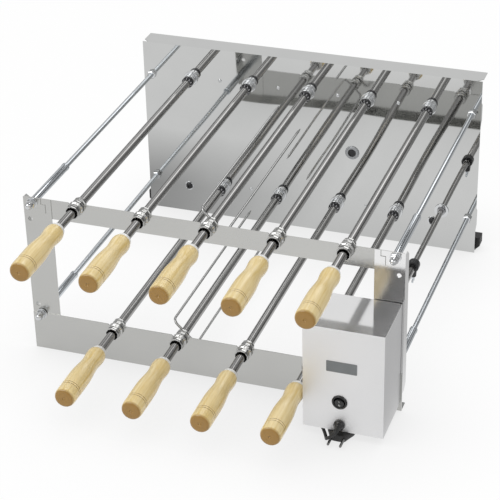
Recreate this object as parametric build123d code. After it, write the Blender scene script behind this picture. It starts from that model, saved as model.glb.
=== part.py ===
from build123d import *
import os
from math import atan2, ceil, cos, degrees, pi, radians, sin, sqrt, tan

# Electric skewer grill: nine skewers in two tiers between a notched front frame
# and a rear panel. A gear motor in the front box turns a long shaft, and gears
# behind the panel turn the nine sockets that the skewers plug into.
# Millimetres, +Z up, +Y to the rear. The origin is on the floor, in the middle
# of the grill without its cord.

# ---------------------------------------------------------------- dimensions
# Front frame
frame_width = 600.0
frame_height = 271.0
frame_sheet = 1.2
top_rail_height = 33.0
rail_over_lower_axis = 7.2
rail_over_upper_axis = 6.93
foot_depth = 20.0
column_width = 46.0
column_flange = 20.0
flange_start = 30.0
flange_clip = 9.0
slit_inset = 33.0
slit_step = 7.0
slit_width = 1.2
slit_bend_drop = 9.0
slit_drop = 24.0

# Rear panel and gear case
panel_gap = 493.0
panel_rise = 52.0
panel_sheet = 1.0
panel_flange = 38.0
panel_corner_clip = 10.0
tab_height = 46.0
tab_depth = 9.0
carrier_sheet = 3.0
back_sheet = 2.0
back_plate_inset = 15.0
carrier_inset = 30.0
bumper_width = 22.0
bumper_height = 24.0
bumper_depth = 20.0
bumper_reach = 7.0

# Skewers
upper_count = 5
lower_count = 4
side_margin = 88.0
gear_floor_gap = 5.8
handle_reach = 200.0
handle_length = 133.0
handle_diameter = 33.0
dimple_depth = 2.0
tang_diameter = 8.0
tang_length = 55.0
rod_diameter = 14.0
shank_gap = 1.5
ferrule_diameter = 20.0
ferrule_length = 3.0
tail_square = 7.5
tail_length = 18.0
tail_tip = 6.0
tail_tip_square = 4.5
fork_wire = 4.0
fork_offset = 26.0
fork_start = 22.0
fork_end = 380.0
fork_point = 12.0
fork_bend = 9.0
upper_fork = 2
lower_fork = 1
lift_angle = 4.0

# Bushings that sit in the notches
bushing_front = 18.0
bushing_rear = 17.0
bushing_flange = 25.0
bushing_lip = 23.0
bushing_body = 22.0
bushing_neck = 21.0
bushing_groove = 18.0
bushing_mouth = 18.5
mouth_depth = 6.0
groove_play = 1.2
notch_lead = 4.0

# Gears and sockets
gear_teeth = 20
pinion_teeth = 11
gear_width = 10.0
addendum_share = 0.6415
dedendum_share = 0.8302
tip_share = 0.13
root_share = 0.32
socket_diameter = 19.0
socket_reach = 25.0
socket_lip = 3.0
socket_square = 10.4
socket_depth = 20.0
hub_shaft = 14.0
stub_diameter = 10.0
boss_diameter = 24.0
boss_reach = 1.5
boss_back = 8.0
gear_start = 9.0
post_diameter = 10.0
post_inset = 38.0
post_share = 0.85
corner_screw_gap = 12.0
corner_screw_drop = 7.8

# Drive shaft and motor box
drive_rise = 14.7
tube_diameter = 12.0
inner_rod_diameter = 9.0
spigot_diameter = 10.0
spigot_length = 14.0
tube_end = 310.0
rod_overlap = 60.0
clamp_length = 14.0
clamp_diameter = 20.0
clamp_screw_diameter = 6.0
clamp_screw_length = 14.0
wing_width = 16.0
wing_height = 9.0
wing_thickness = 3.0
box_skewer_gap = 16.0
box_side_gap = 3.0
box_bottom = 13.0
box_height = 175.0
box_reach = 95.0
box_sheet = 1.2
motor_plate_sheet = 1.5
column_screw_inset = 22.0
column_screw_z = 150.0
gearhead_diameter = 60.0
gearhead_length = 32.0
motor_diameter = 44.0
motor_length = 38.0

# Switch and cable gland
control_inset = 66.0
switch_height = 64.0
switch_bezel = 23.6
switch_body = 20.0
switch_window = 17.2
switch_depth = 16.0
rocker_diameter = 14.2
rocker_pivot_depth = 4.0
rocker_tilt = 8.0
gland_height = 24.5
gland_diameter = 17.0
gland_reach = 10.0
gland_nose = 10.0
gland_shank = 12.0

# Tie rods
tie_inset = 15.0
tie_top_drop = 8.0
tie_bottom_drop = 1.0
sleeve_diameter = 12.0
sleeve_reach = 125.0
bar_diameter = 8.0
bar_overlap = 30.0
washer_diameter = 17.0
washer_thickness = 1.6
nut_flats = 13.0
nut_height = 6.5
cap_height = 10.0
stud_reach = 14.0
side_hole_diameter = 7.0
side_hole_inset = 9.0
side_hole_gap = 4.0
lower_side_hole_rise = 15.0

# Cord and plug
cord_diameter = 5.0
coil_outer_radius = 31.0
coil_pitch = 5.7
coil_layer_rise = 5.7
coil_quarters = 9
coil_back_gap = 3.0
plug_front_reach = 105.0
plug_length = 36.0
plug_thickness = 12.5
plug_nose_width = 24.0
plug_wide_width = 42.0
plug_tail_width = 14.0
plug_flare = 24.0
pin_diameter = 4.0
pin_spacing = 18.6
pin_length = 19.0
pin_root = 8.0

# Clearances
running_gap = 0.05
slide_gap = 0.1
seat_gap = 0.3
hole_gap = 0.2
floor_gap = 0.1
cord_join_gap = 0.02

# Sides of a turned piece's section
handle_sides = 12
bushing_sides = 10
hub_sides = 10
boss_sides = 12
rod_sides = 16
tie_sides = 12
wire_sides = 8
small_sides = 8
nut_sides = 6
motor_sides = 20

# ---------------------------------------------------------- derived positions
overall_depth = handle_reach + panel_gap + panel_flange
front_y = handle_reach - overall_depth / 2
panel_y = front_y + panel_gap
half_width = frame_width / 2
panel_height = frame_height + panel_rise
pitch = (frame_width - 2 * side_margin) / (upper_count - 1)
lower_axis = pitch / 2 + gear_floor_gap
bottom_rail_height = lower_axis + rail_over_lower_axis
upper_axis = frame_height - rail_over_upper_axis
gear_module = pitch / gear_teeth
tooth_addendum = addendum_share * gear_module
tooth_dedendum = dedendum_share * gear_module
upper_x = [(i - (upper_count - 1) / 2) * pitch for i in range(upper_count)]
lower_x = [(i - (lower_count - 1) / 2) * pitch for i in range(lower_count)]
tier_span = sqrt((upper_x[3] - lower_x[2]) ** 2 + (upper_axis - lower_axis) ** 2)
idler_teeth = ceil(tier_span / gear_module - gear_teeth - 0.01)
idler_distance = (gear_teeth + idler_teeth) * gear_module / 2
idler_aside = sqrt(max(0.0, idler_distance**2 - (tier_span / 2) ** 2)) / tier_span
idler_centre = ((lower_x[2] + upper_x[3]) / 2 - idler_aside * (upper_axis - lower_axis),
                (lower_axis + upper_axis) / 2 + idler_aside * (upper_x[3] - lower_x[2]))
mesh_distance = (gear_teeth + pinion_teeth) * gear_module / 2
drive_centre = (lower_x[-1] + sqrt(mesh_distance**2 - drive_rise**2), lower_axis + drive_rise)
box_left = lower_x[-1] + box_skewer_gap
box_right = half_width - box_side_gap
control_x = box_right - control_inset
column_screw_x = box_right - column_screw_inset
tie_x = half_width - tie_inset
tie_top = frame_height - tie_top_drop
tie_bottom = bottom_rail_height - tie_bottom_drop
side_hole_x = half_width - side_hole_inset
upper_side_hole = frame_height - top_rail_height - side_hole_gap
lower_side_hole = bottom_rail_height + lower_side_hole_rise
slit_x = half_width - slit_inset
slit_bend = frame_height - slit_bend_drop
slit_bottom = frame_height - slit_drop
top_rail_y = front_y + frame_sheet
bottom_rail_y = front_y - frame_sheet
carrier_y = panel_y + panel_sheet
back_y = panel_y + panel_flange - back_sheet - 7.0
box_front_y = front_y - box_reach
cord_centre_z = cord_diameter / 2 + floor_gap


# -------------------------------------------------------------------- helpers
def prism(outline, start, end):
    """Extrude an outline drawn in X and Z along Y, from start to end."""
    plane = Plane((0, start, 0), x_dir=(1, 0, 0), z_dir=(0, -1, 0))
    return extrude(plane * outline, amount=end - start, dir=(0, 1, 0))


def slab(x0, x1, y0, y1, z0, z1):
    """A box between two corners."""
    return Pos((x0 + x1) / 2, (y0 + y1) / 2, (z0 + z1) / 2) * Box(x1 - x0, y1 - y0, z1 - z0)


def disc(diameter, x, z):
    """A round outline at a place in X and Z."""
    return Pos(x, z) * Circle(diameter / 2)


def facet_hole(diameter, sides, x, z):
    """A faceted outline whose flats lie outside a shaft of this diameter."""
    return Pos(x, z) * RegularPolygon(diameter / 2, sides, major_radius=False)


def turned(profile, sides, x, z):
    """A turned piece with flat facets about a Y axis at x, z.

    The profile is a closed list of (radius, y). A point of radius zero is on
    the axis, and the face beside it is one whole polygon.
    """
    angles = [2 * pi * (i + 0.5) / sides for i in range(sides)]

    def ring(point):
        return [Vector(x + point[0] * cos(a), point[1], z + point[0] * sin(a)) for a in angles]

    faces = []
    for start, end in zip(profile, profile[1:] + profile[:1]):
        if start[0] == 0 and end[0] == 0:
            continue
        if start[0] == 0 or end[0] == 0:
            faces.append(Face(Wire.make_polygon(ring(end if start[0] == 0 else start))))
            continue
        first, second = ring(start), ring(end)
        for i in range(sides):
            j = (i + 1) % sides
            corners = [first[i], first[j], second[j], second[i]]
            faces.append(Face(Wire.make_polygon(corners)))
    return Solid(Shell(faces))


def gear_outline(teeth, tooth_angle, x, z):
    """A spur gear's outline; tooth_angle is the direction of one tooth, in degrees."""
    radius = teeth * gear_module / 2
    root, tip = radius - tooth_dedendum, radius + tooth_addendum
    corners = []
    for i in range(teeth):
        for size, share in ((root, -root_share), (tip, -tip_share), (tip, tip_share), (root, root_share)):
            angle = radians(tooth_angle) + (i + share) * 2 * pi / teeth
            corners.append((x + size * cos(angle), z + size * sin(angle)))
    return make_face(Polyline(*corners, close=True))


def meshed_angle(centre, teeth, tooth_angle, next_centre, next_teeth):
    """The tooth direction that puts the next gear in mesh with this one."""
    heading = degrees(atan2(next_centre[1] - centre[1], next_centre[0] - centre[0]))
    share = (heading - tooth_angle) * teeth / 360
    return heading + 180 - (0.5 - share) * 360 / next_teeth


# --------------------------------------------------------------------- skewers
def handle(x, z):
    """A turned wooden handle with a waist, a grip and a rounded, dimpled end."""
    rear = front_y - handle_reach + handle_length
    full = handle_diameter / 2
    shape = ((0.00, 0.66), (0.02, 0.78), (0.08, 0.87), (0.14, 0.885), (0.21, 0.84), (0.28, 0.80), (0.37, 0.87),
             (0.50, 0.98), (0.60, 1.00), (0.83, 0.985), (0.84, 0.94), (0.85, 0.985), (0.94, 0.98), (0.985, 0.88),
             (1.00, 0.70))
    outer = [(full * size, rear - handle_length * share) for share, size in shape]
    bore = (tang_diameter / 2 + slide_gap) / cos(pi / handle_sides)
    hole = [(0, rear - tang_length - 1), (bore, rear - tang_length - 1), (bore, rear)]
    dimple = [(full * 0.2, rear - handle_length), (full * 0.14, rear - handle_length + dimple_depth),
              (0, rear - handle_length + dimple_depth)]
    return turned(hole + outer + dimple, handle_sides, x, z)


def fork(x, z):
    """A U of wire across the rod, with two pointed legs along it."""
    side = fork_offset / sqrt(2)
    start, end = front_y + fork_start, front_y + fork_end
    corners = [(x - side, end, z + side), (x - side, start, z + side),
               (x + side, start, z - side), (x + side, end, z - side)]
    path = FilletPolyline(*corners, radius=fork_bend)
    radius = fork_wire / 2
    section = Plane(corners[0], x_dir=(1, 0, 0), z_dir=(0, -1, 0))
    wire = sweep(section * RegularPolygon(radius, wire_sides, rotation=180 / wire_sides), path=path)
    for corner in (corners[0], corners[3]):
        tip = [(0, end), (radius, end), (radius / 4, end + fork_point), (0, end + fork_point)]
        wire += turned(tip, wire_sides, corner[0], corner[2])
    return wire


def rod(x, z, forked):
    """The steel rod: tang, ferrule, round shank and square tail."""
    rear = front_y - handle_reach + handle_length
    shank_end = panel_y - socket_reach - shank_gap
    tail_end = panel_y - socket_reach + tail_length
    tang, ferrule, shank = tang_diameter / 2, ferrule_diameter / 2, rod_diameter / 2
    profile = [(0, rear - tang_length), (tang, rear - tang_length), (tang, rear),
               (ferrule, rear), (ferrule, rear + ferrule_length),
               (shank, rear + ferrule_length), (shank, shank_end), (0, shank_end)]
    body = turned(profile, rod_sides, x, z)
    tail = Pos(x, z) * Rectangle(tail_square, tail_square)
    tip = Pos(x, z) * Rectangle(tail_tip_square, tail_tip_square)
    tail_solid = prism(tail, shank_end, tail_end - tail_tip)
    tip_plane = Plane((0, tail_end, 0), x_dir=(1, 0, 0), z_dir=(0, -1, 0))
    base_plane = Plane((0, tail_end - tail_tip, 0), x_dir=(1, 0, 0), z_dir=(0, -1, 0))
    body += tail_solid + loft([base_plane * tail, tip_plane * tip], ruled=True)
    if forked:
        body += fork(x, z)
    return body


def bushing(x, z, rail_y):
    """A chrome bushing whose groove drops into the rail's notch."""
    middle = rail_y + frame_sheet / 2
    half_groove = frame_sheet / 2 + groove_play
    front, rear = middle - bushing_front, middle + bushing_rear
    bore = rod_diameter / 2 + running_gap
    bore /= cos(pi / bushing_sides)
    flange, lip, body, neck = bushing_flange / 2, bushing_lip / 2, bushing_body / 2, bushing_neck / 2
    profile = [(bore, rear), (body - 2, rear), (body, rear - 4), (body, middle + half_groove),
               (bushing_groove / 2, middle + half_groove), (bushing_groove / 2, middle - half_groove),
               (flange, middle - half_groove), (flange, middle - half_groove - 4),
               (neck, middle - half_groove - 4), (neck, front + 5), (lip, front + 3), (lip, front),
               (bushing_mouth / 2, front), (bushing_mouth / 2, front + mouth_depth),
               (bore, front + mouth_depth)]
    return turned(profile, bushing_sides, x, z)


# --------------------------------------------------------------- gears, sockets
def socket_gear(x, z, tooth_angle):
    """A skewer's socket, its shaft and its gear, all in one turned piece."""
    front = panel_y - socket_reach
    cup, shaft, stub = socket_diameter / 2, hub_shaft / 2, stub_diameter / 2
    gear_y = panel_y + gear_start
    profile = [(0, front), (cup - 2, front), (cup, front + socket_lip), (cup, panel_y - boss_reach - 0.5),
               (shaft, panel_y - boss_reach - 0.5), (shaft, back_y - 1),
               (stub, back_y - 1), (stub, back_y + back_sheet + 3), (0, back_y + back_sheet + 3)]
    body = turned(profile, hub_sides, x, z)
    body += prism(gear_outline(gear_teeth, tooth_angle, x, z), gear_y, gear_y + gear_width)
    square = Pos(x, z) * Rectangle(socket_square, socket_square)
    return body - prism(square, front - 1, front + socket_depth)


def idler_gear(x, z, tooth_angle):
    """The gear that joins the two tiers; its shaft ends behind the panel's ringed hole."""
    shaft, stub = hub_shaft / 2, stub_diameter / 2
    gear_y = panel_y + gear_start
    profile = [(0, panel_y + 1), (shaft, panel_y + 1), (shaft, back_y - 1), (stub, back_y - 1),
               (stub, back_y + back_sheet + 3), (0, back_y + back_sheet + 3)]
    body = turned(profile, hub_sides, x, z)
    return body + prism(gear_outline(idler_teeth, tooth_angle, x, z), gear_y, gear_y + gear_width)


def drive_rod(tooth_angle):
    """The rear drive rod with its pinion."""
    x, z = drive_centre
    inner, shaft, stub = inner_rod_diameter / 2, hub_shaft / 2, stub_diameter / 2
    start = front_y + tube_end - rod_overlap
    gear_y = panel_y + gear_start
    profile = [(0, start), (inner, start), (inner, panel_y - 6), (shaft, panel_y - 6), (shaft, back_y - 1),
               (stub, back_y - 1), (stub, back_y + back_sheet + 3), (0, back_y + back_sheet + 3)]
    body = turned(profile, hub_sides, x, z)
    return body + prism(gear_outline(pinion_teeth, tooth_angle, x, z), gear_y, gear_y + gear_width)


def drive_tube():
    """The front drive tube; the rod slides in it to suit the frame's depth."""
    x, z = drive_centre
    outer, spigot = tube_diameter / 2, spigot_diameter / 2
    bore = (inner_rod_diameter / 2 + slide_gap) / cos(pi / hub_sides)
    start, end = bottom_rail_y, front_y + tube_end
    bore_end = end - rod_overlap - 10
    profile = [(0, start - spigot_length), (spigot, start - spigot_length), (spigot, start), (outer, start),
               (outer, end), (bore, end), (bore, bore_end), (0, bore_end)]
    return turned(profile, hub_sides, x, z)


def shaft_clamp():
    """The collar and wing screw that lock the rod in the tube."""
    x, z = drive_centre
    start = front_y + tube_end - clamp_length - 4
    middle = start + clamp_length / 2
    bore = (tube_diameter / 2 + slide_gap) / cos(pi / hub_sides)
    outer = clamp_diameter / 2
    collar = turned([(bore, start), (outer, start), (outer, start + clamp_length),
                     (bore, start + clamp_length)], hub_sides, x, z)
    top = z - outer + 1
    bottom = top - clamp_screw_length
    shank = slab(x - clamp_screw_diameter / 2, x + clamp_screw_diameter / 2,
                 middle - clamp_screw_diameter / 2, middle + clamp_screw_diameter / 2, bottom, top)
    wing = Plane((x - wing_thickness / 2, middle, bottom), x_dir=(0, 1, 0), z_dir=(1, 0, 0))
    shape = make_face(Polyline((-3, 4), (-wing_width / 2, -wing_height + 3), (-wing_width / 2 + 4, -wing_height),
                               (0, -2), (wing_width / 2 - 4, -wing_height), (wing_width / 2, -wing_height + 3),
                               (3, 4), close=True))
    return collar + shank + extrude(wing * shape, amount=wing_thickness)


# ----------------------------------------------------------------- front frame
def notches(places, axis_z, rail_top):
    """Open notches with chamfered mouths, as an outline in X and Z."""
    half = bushing_groove / 2 + seat_gap
    cut = None
    for x in places:
        mouth = Polyline((x - half, axis_z), (x + half, axis_z), (x + half, rail_top - notch_lead),
                         (x + half + notch_lead, rail_top + 0.01), (x - half - notch_lead, rail_top + 0.01),
                         (x - half, rail_top - notch_lead), close=True)
        shape = disc(2 * half, x, axis_z) + make_face(mouth)
        cut = shape if cut is None else cut + shape
    return cut


def rectangle(x0, x1, z0, z1):
    """A rectangular outline between two corners."""
    return Pos((x0 + x1) / 2, (z0 + z1) / 2) * Rectangle(x1 - x0, z1 - z0)


def front_top_rail():
    """The flat upper rail behind the columns, with five notches."""
    reach = half_width - frame_sheet - 1.0
    bottom = frame_height - top_rail_height
    outline = rectangle(-reach, reach, bottom, frame_height)
    outline -= notches(upper_x, upper_axis, frame_height)
    for x in (-tie_x, tie_x):
        outline -= facet_hole(bar_diameter + 2 * hole_gap, tie_sides, x, tie_top)
    return prism(outline, top_rail_y, top_rail_y + frame_sheet)


def front_bottom_rail():
    """The tall lower rail in front of the columns, with four notches and a foot flange."""
    outline = rectangle(-half_width, half_width, 0, bottom_rail_height)
    outline -= notches(lower_x, lower_axis, bottom_rail_height)
    for x in (-tie_x, tie_x):
        slot = bar_diameter / 2 + hole_gap
        outline -= disc(2 * slot, x, tie_bottom) + rectangle(x - slot, x + slot, tie_bottom, frame_height)
    for x, z in box_screw_places():
        outline -= facet_hole(4 + 2 * hole_gap, small_sides, x, z)
    face = prism(outline, bottom_rail_y, front_y)
    foot = slab(-half_width, half_width, bottom_rail_y, front_y + foot_depth, 0, frame_sheet)
    return face + foot


def hook_slit(x):
    """The narrow Z-shaped cut of a lanced hook, open at the column's top."""
    half, far = slit_width / 2, x + slit_step
    outline = rectangle(x - half, x + half, slit_bend, frame_height + 1)
    outline += rectangle(x - half, far + half, slit_bend - half, slit_bend + half)
    return outline + rectangle(far - half, far + half, slit_bottom, slit_bend)


def front_column(side):
    """A column: flat face and an outer flange bent back, its corners clipped."""
    inner, outer = side * (half_width - column_width), side * half_width
    outline = rectangle(min(inner, outer), max(inner, outer), frame_sheet, frame_height)
    for z in (tie_top, tie_bottom):
        outline -= facet_hole(bar_diameter + 2 * hole_gap, tie_sides, side * tie_x, z)
    outline -= facet_hole(side_hole_diameter, tie_sides, side * side_hole_x, upper_side_hole)
    outline -= facet_hole(side_hole_diameter, tie_sides, side * side_hole_x, lower_side_hole)
    outline -= hook_slit(side * slit_x - slit_step / 2)
    if side > 0:
        outline -= facet_hole(4 + 2 * hole_gap, small_sides, column_screw_x, column_screw_z)
    face = prism(outline, front_y, front_y + frame_sheet)
    low, high = flange_start, frame_height - 1
    near, far = front_y, front_y + column_flange
    plane = Plane((side * half_width, 0, 0), x_dir=(0, 1, 0), z_dir=(1, 0, 0))
    edge = Polyline((near, low), (far - flange_clip, low), (far, low + flange_clip),
                    (far, high - flange_clip), (far - flange_clip, high), (near, high), close=True)
    flange = extrude(plane * make_face(edge), amount=frame_sheet, dir=(-side, 0, 0))
    return face + flange


# ------------------------------------------------------------------ rear panel
def socket_centres():
    """The socket axes, lower tier first."""
    return [(x, lower_axis) for x in lower_x] + [(x, upper_axis) for x in upper_x]


def mid_screw_places():
    """The small screws half way between the sockets of each tier."""
    upper = [(x + pitch / 2, upper_axis + 2) for x in upper_x[:-1]]
    lower = [(x + pitch / 2, lower_axis + 3) for x in lower_x[:-1]]
    return upper + lower


def corner_screw_places():
    """The two larger screws low on the panel."""
    reach = lower_x[-1] + pitch / 2 + corner_screw_gap
    return [(side * reach, lower_axis - corner_screw_drop) for side in (-1, 1)]


def post_places():
    """The posts that carry the back plate, clear of every gear."""
    middle = (lower_axis + upper_axis) / 2
    outer, inner = half_width - post_inset, post_share * pitch
    return [(x, middle) for x in (-outer, -inner, idler_centre[0] + inner, outer)]


def rear_panel():
    """The rear sheet with top and bottom flanges and short side tabs, all bent back."""
    front, rear = panel_y, panel_y + panel_flange
    outline = rectangle(-half_width, half_width, 0, panel_height)
    for x, z in socket_centres() + [idler_centre, drive_centre]:
        outline -= facet_hole(boss_diameter + 2 * hole_gap, boss_sides, x, z)
    for x in (-tie_x, tie_x):
        for z in (tie_top, tie_bottom):
            outline -= facet_hole(bar_diameter + 2 * hole_gap, tie_sides, x, z)
    for x, z in mid_screw_places():
        outline -= facet_hole(3 + 2 * hole_gap, small_sides, x, z)
    for x, z in corner_screw_places():
        outline -= facet_hole(5 + 2 * hole_gap, small_sides, x, z)
    body = prism(outline, front, front + panel_sheet)
    reach, clip = half_width, panel_corner_clip
    bend = front + panel_sheet / 2
    flange = make_face(Polyline((-reach + clip, bend), (reach - clip, bend), (reach, bend + clip), (reach, rear),
                                (-reach, rear), (-reach, bend + clip), close=True))
    for z in (0.0, panel_height - panel_sheet):
        body += Pos(0, 0, z) * extrude(flange, amount=panel_sheet)
    for side in (-1, 1):
        for z in (tie_top, tie_bottom):
            plane = Plane((side * reach, 0, 0), x_dir=(0, 1, 0), z_dir=(1, 0, 0))
            tab = Polyline((front, z - tab_height / 2), (front + tab_depth, z - tab_height / 2 + tab_depth),
                           (front + tab_depth, z + tab_height / 2 - tab_depth), (front, z + tab_height / 2),
                           close=True)
            body += extrude(plane * make_face(tab), amount=panel_sheet, dir=(-side, 0, 0))
    return body


def bearing_carrier():
    """The plate behind the panel: a bearing boss for each shaft, and posts for the back plate."""
    reach = half_width - carrier_inset
    low, high = lower_axis - 25, upper_axis + 25
    outline = rectangle(-reach, reach, low, high)
    for x, z in mid_screw_places():
        outline -= facet_hole(3 + 2 * hole_gap, small_sides, x, z)
    for x, z in corner_screw_places():
        outline -= facet_hole(5 + 2 * hole_gap, small_sides, x, z)
    plate = prism(outline, carrier_y, carrier_y + carrier_sheet)
    bosses = []
    bores = []
    for x, z in socket_centres() + [drive_centre, idler_centre]:
        boss = Pos(x, z) * RegularPolygon(boss_diameter / 2, boss_sides)
        bosses.append(prism(boss, panel_y - boss_reach, panel_y + boss_back))
        bore = facet_hole(hub_shaft + 2 * running_gap, hub_sides, x, z)
        bores.append(prism(bore, panel_y - boss_reach - 1, panel_y + boss_back + 1))
    posts = []
    for x, z in post_places():
        post = facet_hole(post_diameter, small_sides, x, z)
        posts.append(prism(post, carrier_y + carrier_sheet, back_y))
    screw_holes = [prism(facet_hole(4 + 2 * hole_gap, small_sides, x, z), back_y - 12, back_y + 1)
                   for x, z in post_places()]
    return plate + bosses + posts - bores - screw_holes


def back_plate():
    """The plate that closes the gear case and carries the shafts' rear ends."""
    reach = half_width - back_plate_inset
    outline = rectangle(-reach, reach, panel_sheet + seat_gap, panel_height - panel_sheet - seat_gap)
    for x, z in socket_centres() + [idler_centre, drive_centre]:
        outline -= facet_hole(stub_diameter + 2 * running_gap, hub_sides, x, z)
    for x, z in post_places():
        outline -= facet_hole(4 + 2 * hole_gap, small_sides, x, z)
    return prism(outline, back_y, back_y + back_sheet)


def end_bumpers():
    """Black rubber blocks on the ends of the panel's bottom flange."""
    near = panel_y + tab_depth
    blocks = []
    for side in (-1, 1):
        inner, outer = side * (half_width + bumper_reach - bumper_width), side * (half_width + bumper_reach)
        low = panel_sheet
        outline = make_face(Polyline((inner, low), (outer - side * 8, low), (outer, low + 8),
                                     (outer, low + bumper_height), (inner, low + bumper_height), close=True))
        blocks.append(prism(outline, near, near + bumper_depth))
    return Compound(children=blocks)


# ------------------------------------------------------------ ties and fasteners
def tie_rods():
    """Four telescopic ties: a thick front sleeve with a stud, and a thinner rear bar."""
    pieces = []
    for side in (-1, 1):
        for z, seat in ((tie_top, top_rail_y + frame_sheet), (tie_bottom, front_y + frame_sheet)):
            x = side * tie_x
            stud_start = front_y - stud_reach
            end = front_y + sleeve_reach
            bar_start = end - bar_overlap
            bar, sleeve = bar_diameter / 2, sleeve_diameter / 2
            bore = (bar + slide_gap) / cos(pi / tie_sides)
            profile = [(0, stud_start), (bar, stud_start), (bar, seat), (sleeve, seat), (sleeve, end),
                       (bore, end), (bore, bar_start - 5), (0, bar_start - 5)]
            pieces.append(turned(profile, tie_sides, x, z))
            rear_bar = [(0, bar_start), (bar, bar_start), (bar, panel_y + 10), (0, panel_y + 10)]
            pieces.append(turned(rear_bar, tie_sides, x, z))
    return Compound(children=pieces)


def hex_nut(x, z, start, end):
    """A plain hexagon nut between two Y values."""
    outline = facet_hole(nut_flats, nut_sides, x, z)
    outline -= facet_hole(bar_diameter + 2 * slide_gap, small_sides, x, z)
    return prism(outline, start, end).solid()


def screw(x, z, head_y, head, shank, length, head_height):
    """A domed screw along Y; its head is in front of head_y and its shank behind it."""
    profile = [(0, head_y - head_height), (head / 4, head_y - head_height), (head / 2, head_y), (shank / 2, head_y),
               (shank / 2, head_y + length), (0, head_y + length)]
    return turned(profile, small_sides, x, z)


def box_screw_places():
    """The screws that hold the motor plate to the bottom rail."""
    return [(box_left + 14, 30.0), (column_screw_x - 26, 24.0)]


def nuts_and_screws():
    """Washers, nuts and cap nuts on the ties, and the small screws of the sheets."""
    pieces = []
    for side in (-1, 1):
        for z, seat in ((tie_top, front_y), (tie_bottom, bottom_rail_y)):
            x = side * tie_x
            washer = facet_hole(washer_diameter, small_sides + 4, x, z)
            washer -= facet_hole(bar_diameter + 2 * hole_gap, small_sides, x, z)
            pieces.append(prism(washer, seat - washer_thickness, seat).solid())
            base = seat - washer_thickness - nut_height
            cap_bore = bar_diameter / 2 + slide_gap
            pieces.append(hex_nut(x, z, base, seat - washer_thickness))
            cap = [(0, base - cap_height), (3, base - cap_height), (5.9, base - 2.5), (5.9, base),
                   (cap_bore + 0.5, base), (cap_bore + 0.5, front_y - stud_reach - 1),
                   (0, front_y - stud_reach - 1)]
            pieces.append(turned(cap, small_sides, x, z))
            pieces.append(hex_nut(x, z, panel_y - nut_height, panel_y))
            pieces.append(hex_nut(x, z, carrier_y, carrier_y + nut_height))
    for x, z in mid_screw_places():
        pieces.append(screw(x, z, panel_y, 6.5, 3, panel_sheet + carrier_sheet + 2, 1.8))
    for x, z in corner_screw_places():
        pieces.append(screw(x, z, panel_y, 11.0, 5, panel_sheet + carrier_sheet + 3, 3.0))
    for x, z in post_places():
        head = turned([(0, back_y + back_sheet + 2), (2, back_y + back_sheet + 2), (3.8, back_y + back_sheet),
                       (2, back_y + back_sheet), (2, back_y - 10), (0, back_y - 10)], small_sides, x, z)
        pieces.append(head)
    for x, z in box_screw_places() + [(column_screw_x, column_screw_z)]:
        pieces.append(screw(x, z, bottom_rail_y - motor_plate_sheet, 7.0, 4,
                            motor_plate_sheet + 2 * frame_sheet + 3, 2.2))
    spacer = facet_hole(10.0, small_sides, column_screw_x, column_screw_z)
    spacer -= facet_hole(4 + 2 * hole_gap, small_sides, column_screw_x, column_screw_z)
    pieces.append(prism(spacer, bottom_rail_y, front_y).solid())
    return Compound(children=pieces)


# ------------------------------------------------------------------- motor box
def motor_box():
    """The folded cover: a five-sided shell, open to the rear."""
    rear = bottom_rail_y
    outer = slab(box_left, box_right, box_front_y, rear, box_bottom, box_bottom + box_height)
    inner = slab(box_left + box_sheet, box_right - box_sheet, box_front_y + box_sheet, rear + 1,
                 box_bottom + box_sheet, box_bottom + box_height - box_sheet)
    body = outer - inner
    front = box_front_y + box_sheet + 1
    switch_hole = facet_hole(switch_body + 2 * hole_gap, 16, control_x, switch_height)
    gland_hole = facet_hole(gland_shank + 2 * hole_gap, 12, control_x, gland_height)
    return body - prism(switch_hole + gland_hole, box_front_y - 1, front)


def motor_plate():
    """The plate in the box's open side; it carries the gear motor and seats on the rail."""
    gap = 0.2
    outline = rectangle(box_left + box_sheet + gap, box_right - box_sheet - gap,
                        box_bottom + box_sheet + gap, box_bottom + box_height - box_sheet - gap)
    outline -= facet_hole(tube_diameter + 4, tie_sides, *drive_centre)
    nut_room = washer_diameter / 2 + 1.5
    outline -= rectangle(tie_x - nut_room, box_right, tie_bottom - nut_room, tie_bottom + nut_room)
    for x, z in box_screw_places() + [(column_screw_x, column_screw_z)]:
        outline -= facet_hole(4 + 2 * hole_gap, small_sides, x, z)
    rear = bottom_rail_y
    return prism(outline, rear - motor_plate_sheet, rear)


def gear_motor():
    """A round gear head with its motor; the drive tube's spigot runs in its output bore."""
    x, z = drive_centre
    rear = bottom_rail_y - motor_plate_sheet
    bore = (spigot_diameter / 2 + running_gap) / cos(pi / hub_sides)
    head, motor = gearhead_diameter / 2, motor_diameter / 2
    front = rear - gearhead_length
    profile = [(bore, rear), (head, rear), (head, front), (motor, front), (motor, front - motor_length),
               (0, front - motor_length), (0, rear - spigot_length - 2), (bore, rear - spigot_length - 2)]
    return turned(profile, motor_sides, x, z)


def switch_bezel_ring():
    """The round switch's bezel and its closed body behind the sheet."""
    x, z = control_x, switch_height
    window = switch_window / 2
    profile = [(window, box_front_y - 2.2), (switch_bezel / 2 - 1, box_front_y - 2.2),
               (switch_bezel / 2, box_front_y - 1), (switch_bezel / 2, box_front_y),
               (switch_body / 2, box_front_y), (switch_body / 2, box_front_y + switch_depth),
               (0, box_front_y + switch_depth), (0, box_front_y + switch_depth - 2),
               (window, box_front_y + switch_depth - 2)]
    return turned(profile, 16, x, z)


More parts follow.
